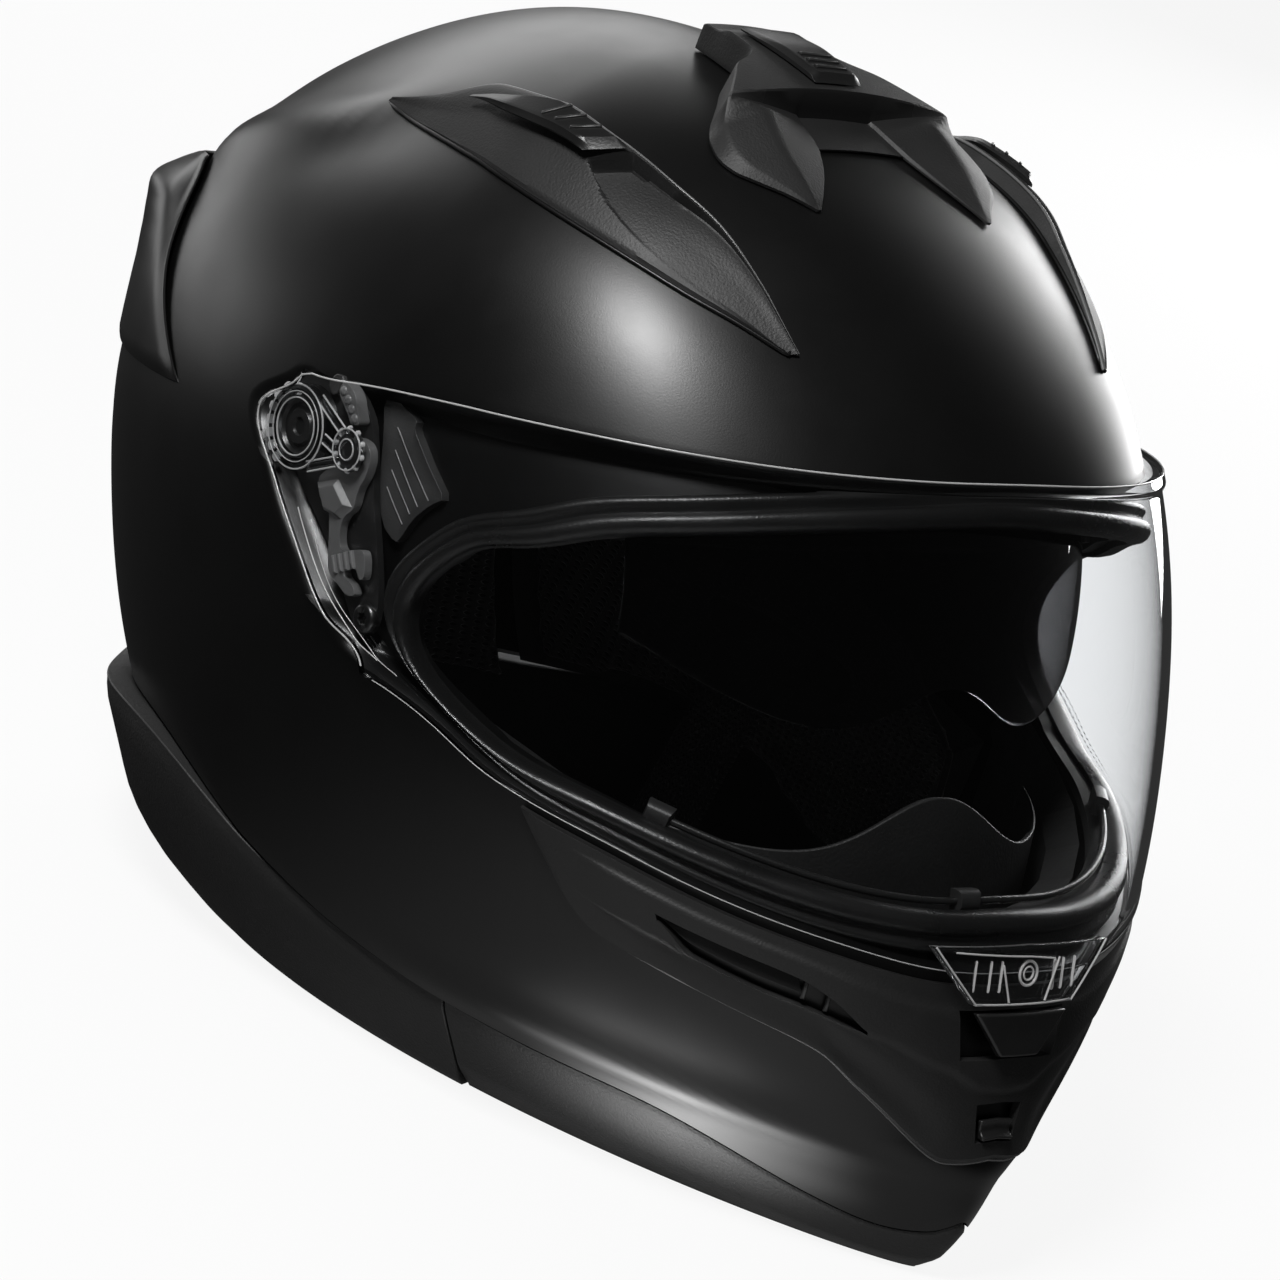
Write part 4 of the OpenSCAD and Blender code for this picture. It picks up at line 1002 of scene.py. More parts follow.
# %% Painted highlights on the visor's edges
def visor_edge(r, q):
    proud = 1.3 * step(6.68, 6.84, r) + .35 * (1 - step(2.05, 2.25, r)) + .35 * step(5.86, 5.95, np.abs(q))
    return visor_points(r, q, 3.45 + proud, 124.9)


run_q, run_r = np.linspace(-5.93, 5.93, 220), np.linspace(2.12, 6.9, 60)
loop = np.concatenate([visor_edge(run_r, np.full(60, 5.975)), visor_edge(np.full(220, 6.955), -run_q),
                       visor_edge(run_r[::-1], np.full(60, -5.975))])
rod("visor_edge_bead", loop, .26, "visor", PAINTED_CLEAR_HIGHLIGHT)
rod("visor_edge_low", visor_edge(np.full(220, 2.045), run_q), .15, "visor", PAINTED_CLEAR_HIGHLIGHT)
part_r = np.linspace(2.5, 4.9, 40)
for s, word in ((1, "right"), (-1, "left")):
    for k, (q, r) in enumerate(((5.83, .17), (5.72, .12))):
        rod("visor_parting_%s_%d" % (word, k + 1), visor_points(part_r, np.full(40, s * q), 3.6, 125.0), r,
            "visor", PAINTED_CLEAR_HIGHLIGHT)
print("visor edge %.0f mm along the back and top" % np.linalg.norm(np.diff(loop, axis=0), axis=1).sum())

# %% [markdown]
# The lock at the chin is a clear tab moulded to the visor. It has a stud ring in its
# middle and fine ribs beside it, and a plain black button below presses it free.

# %% Visor lock
b, a = grid(np.linspace(0, 1, 12), np.linspace(-1, 1, 33))
v, u = a * mix(.085, .15, b), mix(3.50, 3.93 - .03 * np.abs(a), b)
tab_rise = .7 * step(.72, .95, np.abs(a)) + .7 * step(.2, 0, b)
put(slab("lock_tab", surface(u, v) + (5.6 + tab_rise)[..., None] * normal(u, v),
         surface(u, v) + 3.95 * normal(u, v), "visor",
         ["visor_lock_tab"], bevel=.3), CLEAR_SMALL)
mid_u, mid_v = 3.73, 0.0
away, across = normal(mid_u, mid_v), np.array([1.0, 0, 0])
rise = np.cross(across, away)
# The stud ring and the ribs are pale rods and bars: painted highlights of the clear moulding.
for k, (r, w) in enumerate(((3.1, .55), (1.7, .4))):
    turn = np.linspace(0, 2 * math.pi, 32, endpoint=False)
    ring_at = (surface(mid_u, mid_v) + 5.75 * away
               + r * (np.cos(turn)[:, None] * across + np.sin(turn)[:, None] * rise))
    rod("lock_stud_ring_%d" % (k + 1), ring_at, .7 * w, "visor", PAINTED_CLEAR_HIGHLIGHT, closed=True)
rib_at = np.array([surface(3.71, s * x) + 5.5 * normal(3.71, s * x) for s in (-1, 1) for x in (.045, .062, .085)])
sown("lock_ribs", rib_at, [normal(3.71, s * x) for s in (-1, 1) for x in (.045, .062, .085)], rise, BAR,
     (8, .35, .75), PAINTED_CLEAR_HIGHLIGHT, "visor")


def on_lock(a, b, h):
    u = mix(3.50, 3.93 - .03 * np.abs(a), b)
    return surface(u, a * mix(.085, .15, b)) + h * normal(u, a * mix(.085, .15, b))


# Pale rods along the tab's edges and frame: painted highlights.
down, over = np.linspace(1, .02, 10), np.linspace(-.97, .97, 24)
rod("lock_edge", np.concatenate([on_lock(-.97 + 0 * down, down, 6.9), on_lock(over, .02 + 0 * over, 6.3),
                                 on_lock(.97 + 0 * down, down[::-1], 6.9)]), .28, "visor",
    PAINTED_CLEAR_HIGHLIGHT)
for k, (a, ends) in enumerate(((-.36, (.06, .8)), (.34, (.06, .7)))):
    drop = np.linspace(*ends, 6)
    rod("lock_frame_%d" % (k + 1), on_lock(a + 0 * drop, drop, 6.4), .3, "visor", PAINTED_CLEAR_HIGHLIGHT)
rod("lock_brow", on_lock(np.linspace(-.3, .8, 12), np.linspace(.78, .92, 12), 6.4), .25, "visor", PAINTED_CLEAR_HIGHLIGHT)
b, a = grid(np.linspace(0, 1, 10), np.linspace(-1, 1, 13))
v, u = a * mix(.035, .08, b), mix(3.10, 3.44, b)
dish = .5 * bump(a, 0, .9) * bump(b, .5, .5)
put(slab("lock_button", surface(u, v) + (6.75 - dish)[..., None] * normal(u, v),
         surface(u, v) + 4.25 * normal(u, v), "visor_lock_button",
         ["visor_lock_button"], bevel=.55), SMOOTH)
print("lock tab %.0f mm wide" % (2 * abs(surface(3.93, .15)[0])))

# %% [markdown]
# The chin cover is a matte moulding over the lower front. Its upper band carries two
# long side inlets, and a soft step sweeps from them down to a V under the lock. The
# slots are cells left out of the grid, so they stay crisp, and the step is a height.

# %% Smooth tables and the chin cover
def table(rows, x, k):
    """Smooth curve through a table's column k, read by its first column."""
    t = np.asarray(rows, float)
    xs, ys = t[:, 0], t[:, k]
    d = np.diff(ys) / np.diff(xs)
    m = np.concatenate([[d[0]],
                        np.where(d[1:] * d[:-1] > 0,
                                 2 * d[1:] * d[:-1] / np.where(d[1:] + d[:-1] == 0, 1, d[1:] + d[:-1]), 0),
                                 [d[-1]]])
    x = np.clip(x, xs[0], xs[-1])
    i = np.clip(np.searchsorted(xs, x, side="right") - 1, 0, len(xs) - 2)
    w = xs[i + 1] - xs[i]
    s = (x - xs[i]) / w
    return ((2 * s ** 3 - 3 * s * s + 1) * ys[i] + (s ** 3 - 2 * s * s + s) * w * m[i]
            + (3 * s * s - 2 * s ** 3) * ys[i + 1]
            + (s ** 3 - s * s) * w * m[i + 1])


def row_line(r):
    v, u = net(np.full(700, float(r)), np.linspace(0, 9, 700))
    return lambda at: np.interp(at, v, u)


visor_low, shell_low = row_line(2), row_line(0)
CHIN = [[0, .0, 2.15], [.2, .11, 2.10], [.4, .24, 2.66], [.5, .29, 2.92], [.65, .40, 3.10], [.8, .49, 3.22],
        [.92, .56, 3.34], [1, .62, 3.75]]


def chin(a, b):
    c = np.abs(a)
    v1 = .65 * c
    return np.sign(a) * mix(table(CHIN, c, 1), v1, b), mix(table(CHIN, c, 2), visor_low(v1) - .07, b)


def on_chin(a, b, h):
    v, u = chin(a, b)
    return out(u, v, h)


V_LINE = [[0, .43], [.09, .46], [.19, .57], [.3, .60], [.36, .55], [.42, .50], [.5, .43], [.6, .385], [.7, .39],
          [.8, .40], [1, .40]]
LIP_TOP = [[0, .7], [.22, .7], [.36, .575], [.42, .66], [.5, .705], [.76, .685], [.84, .7], [1, .7]]
LIP_LOW = [[0, .4], [.22, .4], [.36, .545], [.42, .50], [.5, .43], [.6, .385], [.7, .40], [.76, .62],
           [.84, .42], [1, .4]]


def slotted(a, b):
    """Bends the rows .4 and .7 onto the inlet's two lips."""
    top, low = table(LIP_TOP, np.abs(a), 1), table(LIP_LOW, np.abs(a), 1)
    return np.where(b < .4, b * low / .4,
                    np.where(b > .7, 1 - (1 - b) * (1 - top) / .3, low + (b - .4) / .3 * (top - low)))


A = np.unique(np.round(np.concatenate([s
                                       * np.concatenate([np.linspace(0, .09, 6), [.095],
                                                         np.linspace(.1, .145, 4), [.15, .155],
                                                         np.linspace(.17, .345, 12),
               [.355, .36, .365], np.linspace(.375, .695, 22), np.linspace(.705, .75, 5), [.755, .76, .765],
               np.linspace(.78, .97, 12), [.985, 1]])
               for s in (-1, 1)]), 4))
B = np.array([0, .01, .03, .06, .09, .115, .12, .125, .15, .18, .21, .24, .27, .3, .33, .355, .36, .365, .38,
              .395, .4, .405, .42, .44, .46, .48, .5, .52, .54,
              .56, .58, .6, .615, .62, .625, .65, .68, .695, .7, .705, .72, .745, .78, .81, .84, .875, .88,
              .885, .91, .94, .97, .99, 1])
b, a = grid(B, A)
b = slotted(a, b)
band = (step(-.035, .035, b - table(V_LINE, np.abs(a), 1)) * (1 - step(.84, .92, b))
        * (1 - step(.8, .95, np.abs(a))))
hollow = bump(b, .26, .2) * step(.16, .3, np.abs(a)) * (1 - step(.6, .9, np.abs(a)))
roll = .9 * (1 - step(0, .03, b)) + .9 * step(.97, 1, np.abs(a))
mb, ma = (B[1:] + B[:-1])[:, None] / 2, np.abs(A[1:] + A[:-1])[None] / 2
cut = (((mb > .4) & (mb < .7) & (ma > .36) & (ma < .76)) | ((mb > .12) & (mb < .36) & (ma < .09))
       | ((mb > .62) & (mb < .88) & (ma < .15)))
cover = put(slab("chin_cover_panel", on_chin(a, b, 2.8 + 1.1 * band - hollow - roll), on_chin(a, b, .5),
                 "shell", ["chin_cover"],
                 gone=cut, bevel=.45), GRAINED)
edge_a = np.linspace(-1, 1, 160)
# A light grey rod along the cover's lower edge: painted highlight.
rod("chin_cover_edge", on_chin(edge_a, np.full_like(edge_a, -.02), .55), .36, "shell", PAINTED_HIGHLIGHT_LINE)
print("chin cover faces:", len(cover.data.polygons))

# %% [markdown]
# Behind each side inlet lies a slanted black shutter with a small tab near its front,
# and the centre intake is closed by a slider with a shelf for a fingertip.

# %% Chin inlets and centre slider
for s, word in ((1, "right"), (-1, "left")):
    b, a = grid(np.linspace(.53, .70, 7), np.linspace(.50, .752, 34))
    tilt = 1.3 + 1.2 * (.70 - b) / .17
    b = slotted(a, b)
    put(slab("inlet_shutter_" + word, on_chin(s * a, b, tilt), on_chin(s * a, b, .6), "shell",
             ["chin_inlet_grille_" + word],
             bevel=.25), SMOOTH)
    tab = slotted(np.array([.49, .49, .44]), np.array([.60, .70, .60]))
    at = np.array([on_chin(s * .49, tab[0], 1.5), on_chin(s * .44, tab[2], 1.0)])
    v, u = chin(s * .49, tab[0])
    sown("inlet_tab_" + word, at, normal(u, v), on_chin(s * .48, tab[1], 1) - on_chin(s * .49, tab[0], 1), BAR,
         (5.6, 1.1, 1.4), DARK_NYLON, "shell")
b, a = grid(np.linspace(.14, .26, 8), np.linspace(-.07, .07, 11))
shelf = 1.35 * (1 - step(.165, .185, b)) + .5 * step(.235, .25, b)
put(slab("chin_slider", on_chin(a, b, 2.6 + shelf), on_chin(a, b, 1.45), "chin_vent_slider",
         ["chin_vent_slider"], bevel=.35), SMOOTH)
print("slot length %.0f mm" % np.linalg.norm(on_chin(.36, .56, 2) - on_chin(.76, .65, 2)))

# %% [markdown]
# The rim trims close the shell's cut edge and stand on the table. The front one has a
# crease where it turns under; the rear one swells out into a collar behind the neck.

# %% Front rim and rear collar
b, v = grid(np.concatenate([[0, .03, .08, .15, .25, .34, .37, .4, .45, .55, .65, .75, .85, .93, .97, 1]]),
            np.linspace(-.738, .738, 150))
u = b * (shell_low(np.abs(v)) - .04)
under_turn = -2.4 * (1 - step(0, .37, b)) - .5 * (1 - step(0, .1, b)) - .5 * step(.94, 1, b)
put(slab("rim_front", level(u, v, under_turn), level(u, v, -mix(9, 4, b)), "shell", ["front_rim"],
         bevel=.4), RIM)
b, v = grid(np.concatenate([[0, .03, .08, .15, .25, .35, .45, .55, .65, .75, .85, .92, .96, .985, 1]]),
            np.linspace(.7415, 4 - .7415, 190))
side_v = np.where(v > 2, 4 - v, v)
u = b * (shell_low(side_v) - .04)
swell = 9 * step(.85, 1.4, side_v) * table([[0, .25], [.3, .8], [.6, 1], [1, .95]], b, 1)
put(slab("collar_rear", level(u, v, swell - 1.0 * (1 - step(0, .08, b)) - 1.2 * step(.93, 1, b)),
         level(u, v, -mix(9, 4, b)), "shell", ["rear_collar"],
         bevel=.4), RIM)
print("rim height at the front: %.0f mm" % surface(shell_low(0.0), 0)[2])

# %% [markdown]
# The rear spoiler wraps the back of the shell and lifts off it toward its top edge,
# where it hides the air outlets. Fine fins stand in the outlet, sown like the screws.

# %% Rear spoiler
SPOILER = [[0, 1.24, 5.6], [.2, 1.33, 6.0], [.35, 1.39, 6.3], [.8, 1.52, 7.0], [1, 1.58, 7.2]]


def on_spoiler(a, b, h):
    c = np.abs(a)
    v = 2 - (2 - table(SPOILER, b, 1)) * c
    return out(mix(mix(5.2, 7.0, b), table(SPOILER, b, 2), c ** 2), np.where(a < 0, 4 - v, v), h)


b, a = grid(np.concatenate([np.linspace(0, .94, 40), [.965, .985, 1]]),
            np.concatenate([-np.array([1, .99, .975, .95]), np.linspace(-.92, .92, 90),
                   [.95, .975, .99, 1]]))
SIDE_RIDGE = [[0, .02], [.2, .05], [.35, .14], [.5, .40], [.62, .72], [.72, .97], [.86, .6], [1, .08]]
OPEN_MIDDLE = [[0, .02], [.2, .05], [.35, .14], [.5, .40], [.62, .72], [.72, .97], [.86, 1], [1, 1]]
c = np.abs(a)
lift = (10.2 * mix(table(OPEN_MIDDLE, b, 1), table(SIDE_RIDGE, b, 1), np.clip((c - .15) / .27, 0, 1))
        * (1 - c ** 6) * (1 - step(.955, .99, c)))
rest = (mix(1.5, 2.8, step(0, .45, b)) + lift - .7 * step(.97, 1, c) - .7 * step(.96, 1, 1 - b)
        - .5 * step(.96, 1, b))
under = mix(np.minimum(2.0, rest - .8), rest - 2.4, (1 - step(.15, .4, c)) * step(.72, .9, b))
put(slab("spoiler", on_spoiler(a, b, rest), on_spoiler(a, b, under), "shell", ["rear_spoiler"],
         bevel=.4), LACQUER)
fin_a = np.linspace(-.24, .24, 11)
fin_at = on_spoiler(fin_a, np.full(11, .985), 3.0)
sown("spoiler_fins", fin_at,
     [p - q for p, q in zip(on_spoiler(fin_a, np.full(11, 1.0), 4), on_spoiler(fin_a, np.full(11, .97), 4))],
     [p - q for p, q in zip(on_spoiler(fin_a, np.full(11, 1.0), 9), on_spoiler(fin_a, np.full(11, 1.0), 3))],
     BAR, (7.5, 1.2, 1.0), GRAINED, "shell")
print("spoiler fins: 11")

# %% [markdown]
# The top vent is a faceted scoop: a raised mouth across the crown, open to the front
# between two prongs that run down to points. It is drawn in plan, row by row, and each
# row is laid on the crown by halving until its place in plan is met.

# %% Top vent
def on_crown(x, y, h):
    """Points h mm over the crown at a place in plan."""
    x, y = np.broadcast_arrays(np.asarray(x, float), np.asarray(y, float))

    def side_at(u):
        lo, hi = np.zeros(x.shape), np.full(x.shape, 2.0)
        for _ in range(15):
            m = (lo + hi) / 2
            back = surface(u, m)[..., 1] < y
            lo, hi = np.where(back, m, lo), np.where(back, hi, m)
        return (lo + hi) / 2
    lo, hi = np.full(x.shape, 6.5), np.full(x.shape, 10.95)
    for _ in range(15):
        m = (lo + hi) / 2
        inside = ((surface(m, 0)[..., 1] < y) & (surface(m, 2)[..., 1] > y)
                  & (np.abs(surface(m, side_at(m))[..., 0]) > np.abs(x)))
        lo, hi = np.where(inside, m, lo), np.where(inside, hi, m)
    u = (lo + hi) / 2
    v = side_at(u)
    n = normal(u, v)
    p = surface(u, v)
    s = np.where(x < 0, 1, -1)
    return np.stack([x - s * np.abs(n[..., 0]) * h, y + n[..., 1] * h, p[..., 2] + n[..., 2] * h], -1)


SCOOP = [[-60, 31.2, 30], [-54, 36.5, 25], [-48, 42.5, 20.5], [-43, 46.5, 17.5], [-38.5, 47.6, 15.5],
         [-32, 46, 14], [-26, 42, 13], [-23, 39, 12], [-17, 33, 9],
         [-11, 27, 7], [-7, 19, 6], [-3, 15, 5], [4, 14.3, 5], [11, 13.6, 4], [17, 13, 4]]
J = np.array([0, .06, .16, .35, .6, .8, .95, 1.05, 1.25, 1.5, 1.75, 1.95, 2.05, 2.3, 2.6, 2.85, 2.96, 3, 3.04,
              3.5, 4, 4.5, 5])
J = np.concatenate([J, 10 - J[::-1][1:]])
Y = np.concatenate([np.linspace(-60, -38.75, 20), [-38.5, -38.25], np.linspace(-37.5, -26, 14),
                    [-25.4, -24.9, -24.5, -24.1], np.linspace(-23.4, 16, 40), [16.6, 17]])
yy, jj = grid(Y, J)
o, i = table(SCOOP, yy, 1), table(SCOOP, yy, 2)
fold = np.minimum(jj, 10 - jj)
at_j = np.stack([o, o - .12 * (o - i), i + .45 * (o - i), i, i / 2, 0 * i], -1)
k = np.clip(np.floor(fold).astype(int), 0, 4)
x = mix(np.take_along_axis(at_j, k[..., None], -1)[..., 0],
        np.take_along_axis(at_j, k[..., None] + 1, -1)[..., 0], fold - k) * np.where(jj <= 5, 1, -1)
ahead = step(-24.3, -25.3, yy)
run = np.clip((-25 - yy) / 34, 0, 1)
top = mix(9.5 * mix(1, .8, step(6, 12, yy)), mix(9.5, 1.2, run), ahead)
crest = mix(1, 1.9, np.clip((-25 - yy) / 5, 0, 1))
flank = mix(1.3, top, np.clip(fold / crest, 0, 1))
tongue = mix(top, mix(2.4, 1.1, run), np.clip((fold - crest) / (2.96 - crest), 0, 1))
floor_h = mix(1.5, 1.0, np.clip((-26 - yy) / 12, 0, 1))
h = np.where(fold <= crest, flank, mix(top, tongue, ahead))
h = np.where(fold > 2.97, mix(top, floor_h, ahead), h) - .5 * step(16, 17, yy)
gone = (((Y[1:] + Y[:-1]) / 2 < -38.5)[:, None]
        & ((np.minimum(J, 10 - J)[1:] + np.minimum(J, 10 - J)[:-1]) / 2 > 3)[None])
scoop = put(slab("top_scoop", on_crown(x, yy, h), on_crown(x, yy, .5), "shell", ["top_vent_cover"],
                 gone=gone, bevel=.3, smooth=28), GRAINED)
scoop.data.materials.append(PAINTED_SHADE)
# The front wall of the vent's mouth takes the near-black matte: painted shade on a wall that the lamps light.
for face in scoop.data.polygons:
    at = face.center / MM
    if -27 < at.y < -24.3 and abs(at.x) < 27 and face.normal.y < -.55:
        face.material_index = 1
yy, kk = grid(np.linspace(-22, 6, 26), np.linspace(-2, 2, 21))
ramp = 2.0 * step(-22, -19.5, yy) * (.35 + .65 * step(6, -8, yy)) * (1 - .5 * step(1.55, 2, np.abs(kk)))
SLIDER_UNDER, SLIDER_TOP, RIDGE_FOOT = 10.0, 10.05, 11.75   # mm over the crown
slide_top = on_crown(-kk * mix(4, 5, (yy + 22) / 28), yy, SLIDER_TOP + ramp)
put(slab("top_slider", slide_top, on_crown(-kk * mix(4, 5, (yy + 22) / 28), yy, SLIDER_UNDER),
         "top_vent_slider", ["top_vent_slider"], bevel=.35),
    SMOOTH)
ridge_y = np.array([-17.4, -14.2, -11.0])
on_top = on_crown(0 * ridge_y, ridge_y, RIDGE_FOOT)
sown("top_slider_ridges", on_top, on_crown(0 * ridge_y, ridge_y, 9) - on_crown(0 * ridge_y, ridge_y, 8),
     [1, 0, 0], BAR, (11, 1.3, .8), SMOOTH, "top_vent_slider")
print("top vent reaches y %.0f mm" % Y[0])

# %% [markdown]
# Each brow vent is a leaf of matte plastic over the brow: a rounded body, a scoop
# hollowed from its front half with a crisp curved edge, a dark slot at the scoop's head
# and a slider above it with three ridges. A thin bead of lacquer frames it.

# %% Brow vents
LOW_EDGE = [[0, 1.235, 8.44], [.13, 1.09, 8.37], [.25, .96, 8.27], [.38, .82, 8.13], [.5, .70, 7.98],
            [.62, .60, 7.83], [.75, .51, 7.68], [.88, .42, 7.53], [1, .345, 7.37]]
TOP_EDGE = [[0, 1.225, 8.47], [.13, 1.15, 8.68], [.25, 1.06, 8.93], [.38, .90, 8.95], [.5, .70, 8.73],
            [.62, .56, 8.45], [.75, .46, 8.2], [.88, .39, 7.85],
            [1, .330, 7.38]]
CREST = [[0, .2], [.12, .55], [.3, 1], [.55, 1], [.75, .62], [.9, .3], [1, .12]]
SCOOP_LINE = [[.44, .70], [.468, .565], [.525, .325], [.608, .19], [.667, .14], [.728, .115], [.8, .09], [1, .06]]


def on_brow(a, b, h, s, lean=0.0):
    """Lean slants the rows, as the slider's and the slot's front edges run."""
    a = a + .208 * lean * (b - .57) * step(0, .3, a) * (1 - step(.6, 1, a))
    v = mix(table(LOW_EDGE, a, 1), table(TOP_EDGE, a, 1), b)
    u = mix(table(LOW_EDGE, a, 2), table(TOP_EDGE, a, 2), b)
    return out(u, s * v, h)


bb, aa = grid(np.concatenate([[0, .015, .04, .08], np.linspace(.11, .88, 62), [.9, .92, .94, .96, .98, 1]]),
                     np.concatenate([[0, .01, .025], np.linspace(.05, .42, 26), np.linspace(.43, .53, 30),
                                     np.linspace(.54, .97, 44), [.985, 1]])[::-1])
a_real = aa + .208 * (bb - .57) * step(0, .3, aa) * (1 - step(.6, 1, aa))
hump = table([[0, 0], [.5, .5], [.9, 1], [1, .92]], bb, 1)
body_h = 1.0 + 5.5 * table(CREST, a_real, 1) * hump - .5 * (1 - step(0, .04, bb)) - .5 * step(.97, 1, bb)
well = mix(2.2, body_h, step(.5, .97, aa)) - .35
well = np.where((aa < .50) & (bb > .40), .75, well)
inside = step(-.012, .02, bb - table(SCOOP_LINE, a_real, 1)) * (1 - step(.915, .94, bb)) * step(.455, .463, aa)
brow_h = mix(body_h, np.minimum(well, body_h), inside)
a2, t2 = np.meshgrid(np.linspace(.19, .455, 30)[::-1], np.linspace(0, 1, 16), indexing="xy")
b2 = mix(mix(.62, .565, step(.19, .27, a2)), mix(.66, .91, step(.18, .33, a2)), t2)
for side, word in ((1, "right"), (-1, "left")):
    put(slab("brow_leaf_" + word, on_brow(aa, bb, brow_h, side, 1), on_brow(aa, bb, .5, side, 1), "shell",
             ["brow_vent_cover_" + word],
             bevel=.25, smooth=28), GRAINED)
    ring_a = np.concatenate([np.linspace(0, 1, 80), np.linspace(1, 0, 80)[1:-1]])
    ring_b = np.concatenate([np.full(80, -.03), np.full(78, 1.03)])
    rod("brow_bead_" + word, on_brow(ring_a, ring_b, .45, side), .62, "shell", LACQUER, closed=True)
    edge_a = np.linspace(.16, 1, 90)
    edge_h = 1.0 + 5.5 * table(CREST, edge_a, 1) * .92 - .75
    # A light grey rod along the leaf's upper edge: painted highlight.
    rod("brow_edge_" + word, on_brow(edge_a, np.full(90, 1.005), edge_h, side), .42, "shell", PAINTED_HIGHLIGHT_LINE)
    rise = (.7 + 1.9 * step(.455, .435, a2) * step(.18, .27, a2) * (.25 + .75 * step(0, .16, t2))
            * (.35 + .65 * step(1, .88, t2)))
    put(slab("brow_slider_" + word, on_brow(a2, b2, 6.9 + rise, side, 1), on_brow(a2, b2, 7.55, side, 1),
             "brow_vent_slider_" + word,
             ["brow_vent_slider_" + word], bevel=.3), SMOOTH)
    ra, rb = np.array([.352, .381, .410]), np.full(3, .76)
    sown("brow_slider_ridges_" + word, on_brow(ra, rb, 9.35, side, 1), on_brow(ra, rb, 10, side, 1)
         - on_brow(ra, rb, 9, side, 1),
         on_brow(ra, rb + .1, 9, side, 1) - on_brow(ra, rb - .1, 9, side, 1), BAR, (8, .9, .65), SMOOTH,
         "brow_vent_slider_" + word)
print("brow vent length %.0f mm" % np.linalg.norm(on_brow(0, .5, 0, 1) - on_brow(1, .5, 0, 1)))

# %% [markdown]
# Inside, rigid foam fills the space between shell and pads; it stays as the CAD has it.
# What the wearer touches is cloth: a cheek pad on each side, a crown pad and a neck
# roll, all faced with spacer mesh over soft foam. A pad could be a plain slab, but cloth
# simulation gives the real crown: the backing is held still, and pressure fills the face.

# %% The pad maker
def lay_uv(piece, place):
    """Unwraps in metres: place turns points in mm into two lengths."""
    mesh = piece.data
    uv = place(coords(mesh) / MM) * MM
    corner = np.zeros(len(mesh.loops), int)
    mesh.loops.foreach_get("vertex_index", corner)
    layer = mesh.uv_layers[0] if mesh.uv_layers else mesh.uv_layers.new(name="UVMap")
    layer.data.foreach_set("uv", uv[corner].astype(np.float32).ravel())


def stuffed(piece, face_of, cap, voxel=4.6, pressure=4.0):
    """Remeshes the pad, fills it by cloth simulation with its backing pinned, and caps the swelling."""
    m = piece.modifiers.new("even", "REMESH")
    m.mode, m.voxel_size, m.use_smooth_shade = "VOXEL", voxel * MM, True
    mesh = bpy.data.meshes.new_from_object(piece.evaluated_get(bpy.context.evaluated_depsgraph_get()))
    piece.modifiers.clear()
    old = piece.data
    piece.data = mesh
    mesh.name = old.name + "_filled"
    start = coords(mesh)
    face = face_of(start / MM)
    held = piece.vertex_groups.new(name="backing")
    for k in np.nonzero(face < .5)[0]:
        held.add([int(k)], 1.0, "REPLACE")
    cloth = piece.modifiers.new("fill", "CLOTH")
    s = cloth.settings
    s.vertex_group_mass = "backing"
    s.use_pressure, s.uniform_pressure_force = True, pressure
    s.effector_weights.gravity = 0
    s.quality = 4
    cloth.point_cache.frame_start, cloth.point_cache.frame_end = 1, 20
    for f in range(1, 21):
        bpy.context.scene.frame_set(f)
    done = piece.evaluated_get(bpy.context.evaluated_depsgraph_get())
    filled = coords(done.data)
    bpy.context.scene.frame_set(1)
    move = filled - start
    reach = np.linalg.norm(move, axis=1, keepdims=True)
    move *= np.minimum(1, cap * MM / np.maximum(reach, 1e-9)) * face[:, None]
    piece.modifiers.clear()
    piece.vertex_groups.clear()
    mesh.vertices.foreach_set("co", (start + move).ravel())
    mesh.update()
    mesh.shade_smooth()
    return rounded(piece)


def hill(a, b):
    return np.sin(math.pi * np.clip(a, 0, 1)) * np.sin(math.pi * np.clip(b, 0, 1))


print("pad maker ready, quick look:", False)

# %% [markdown]
# The cheek pads stand up behind the lower corners of the eyeport, where their mesh face
# can be seen. Each has a slot for the strap, a piped edge and a row of stitches.

# %% Cheek pads
def from_net(r, q, k):
    v, u = net(r, q)
    return inner(u, v, k)


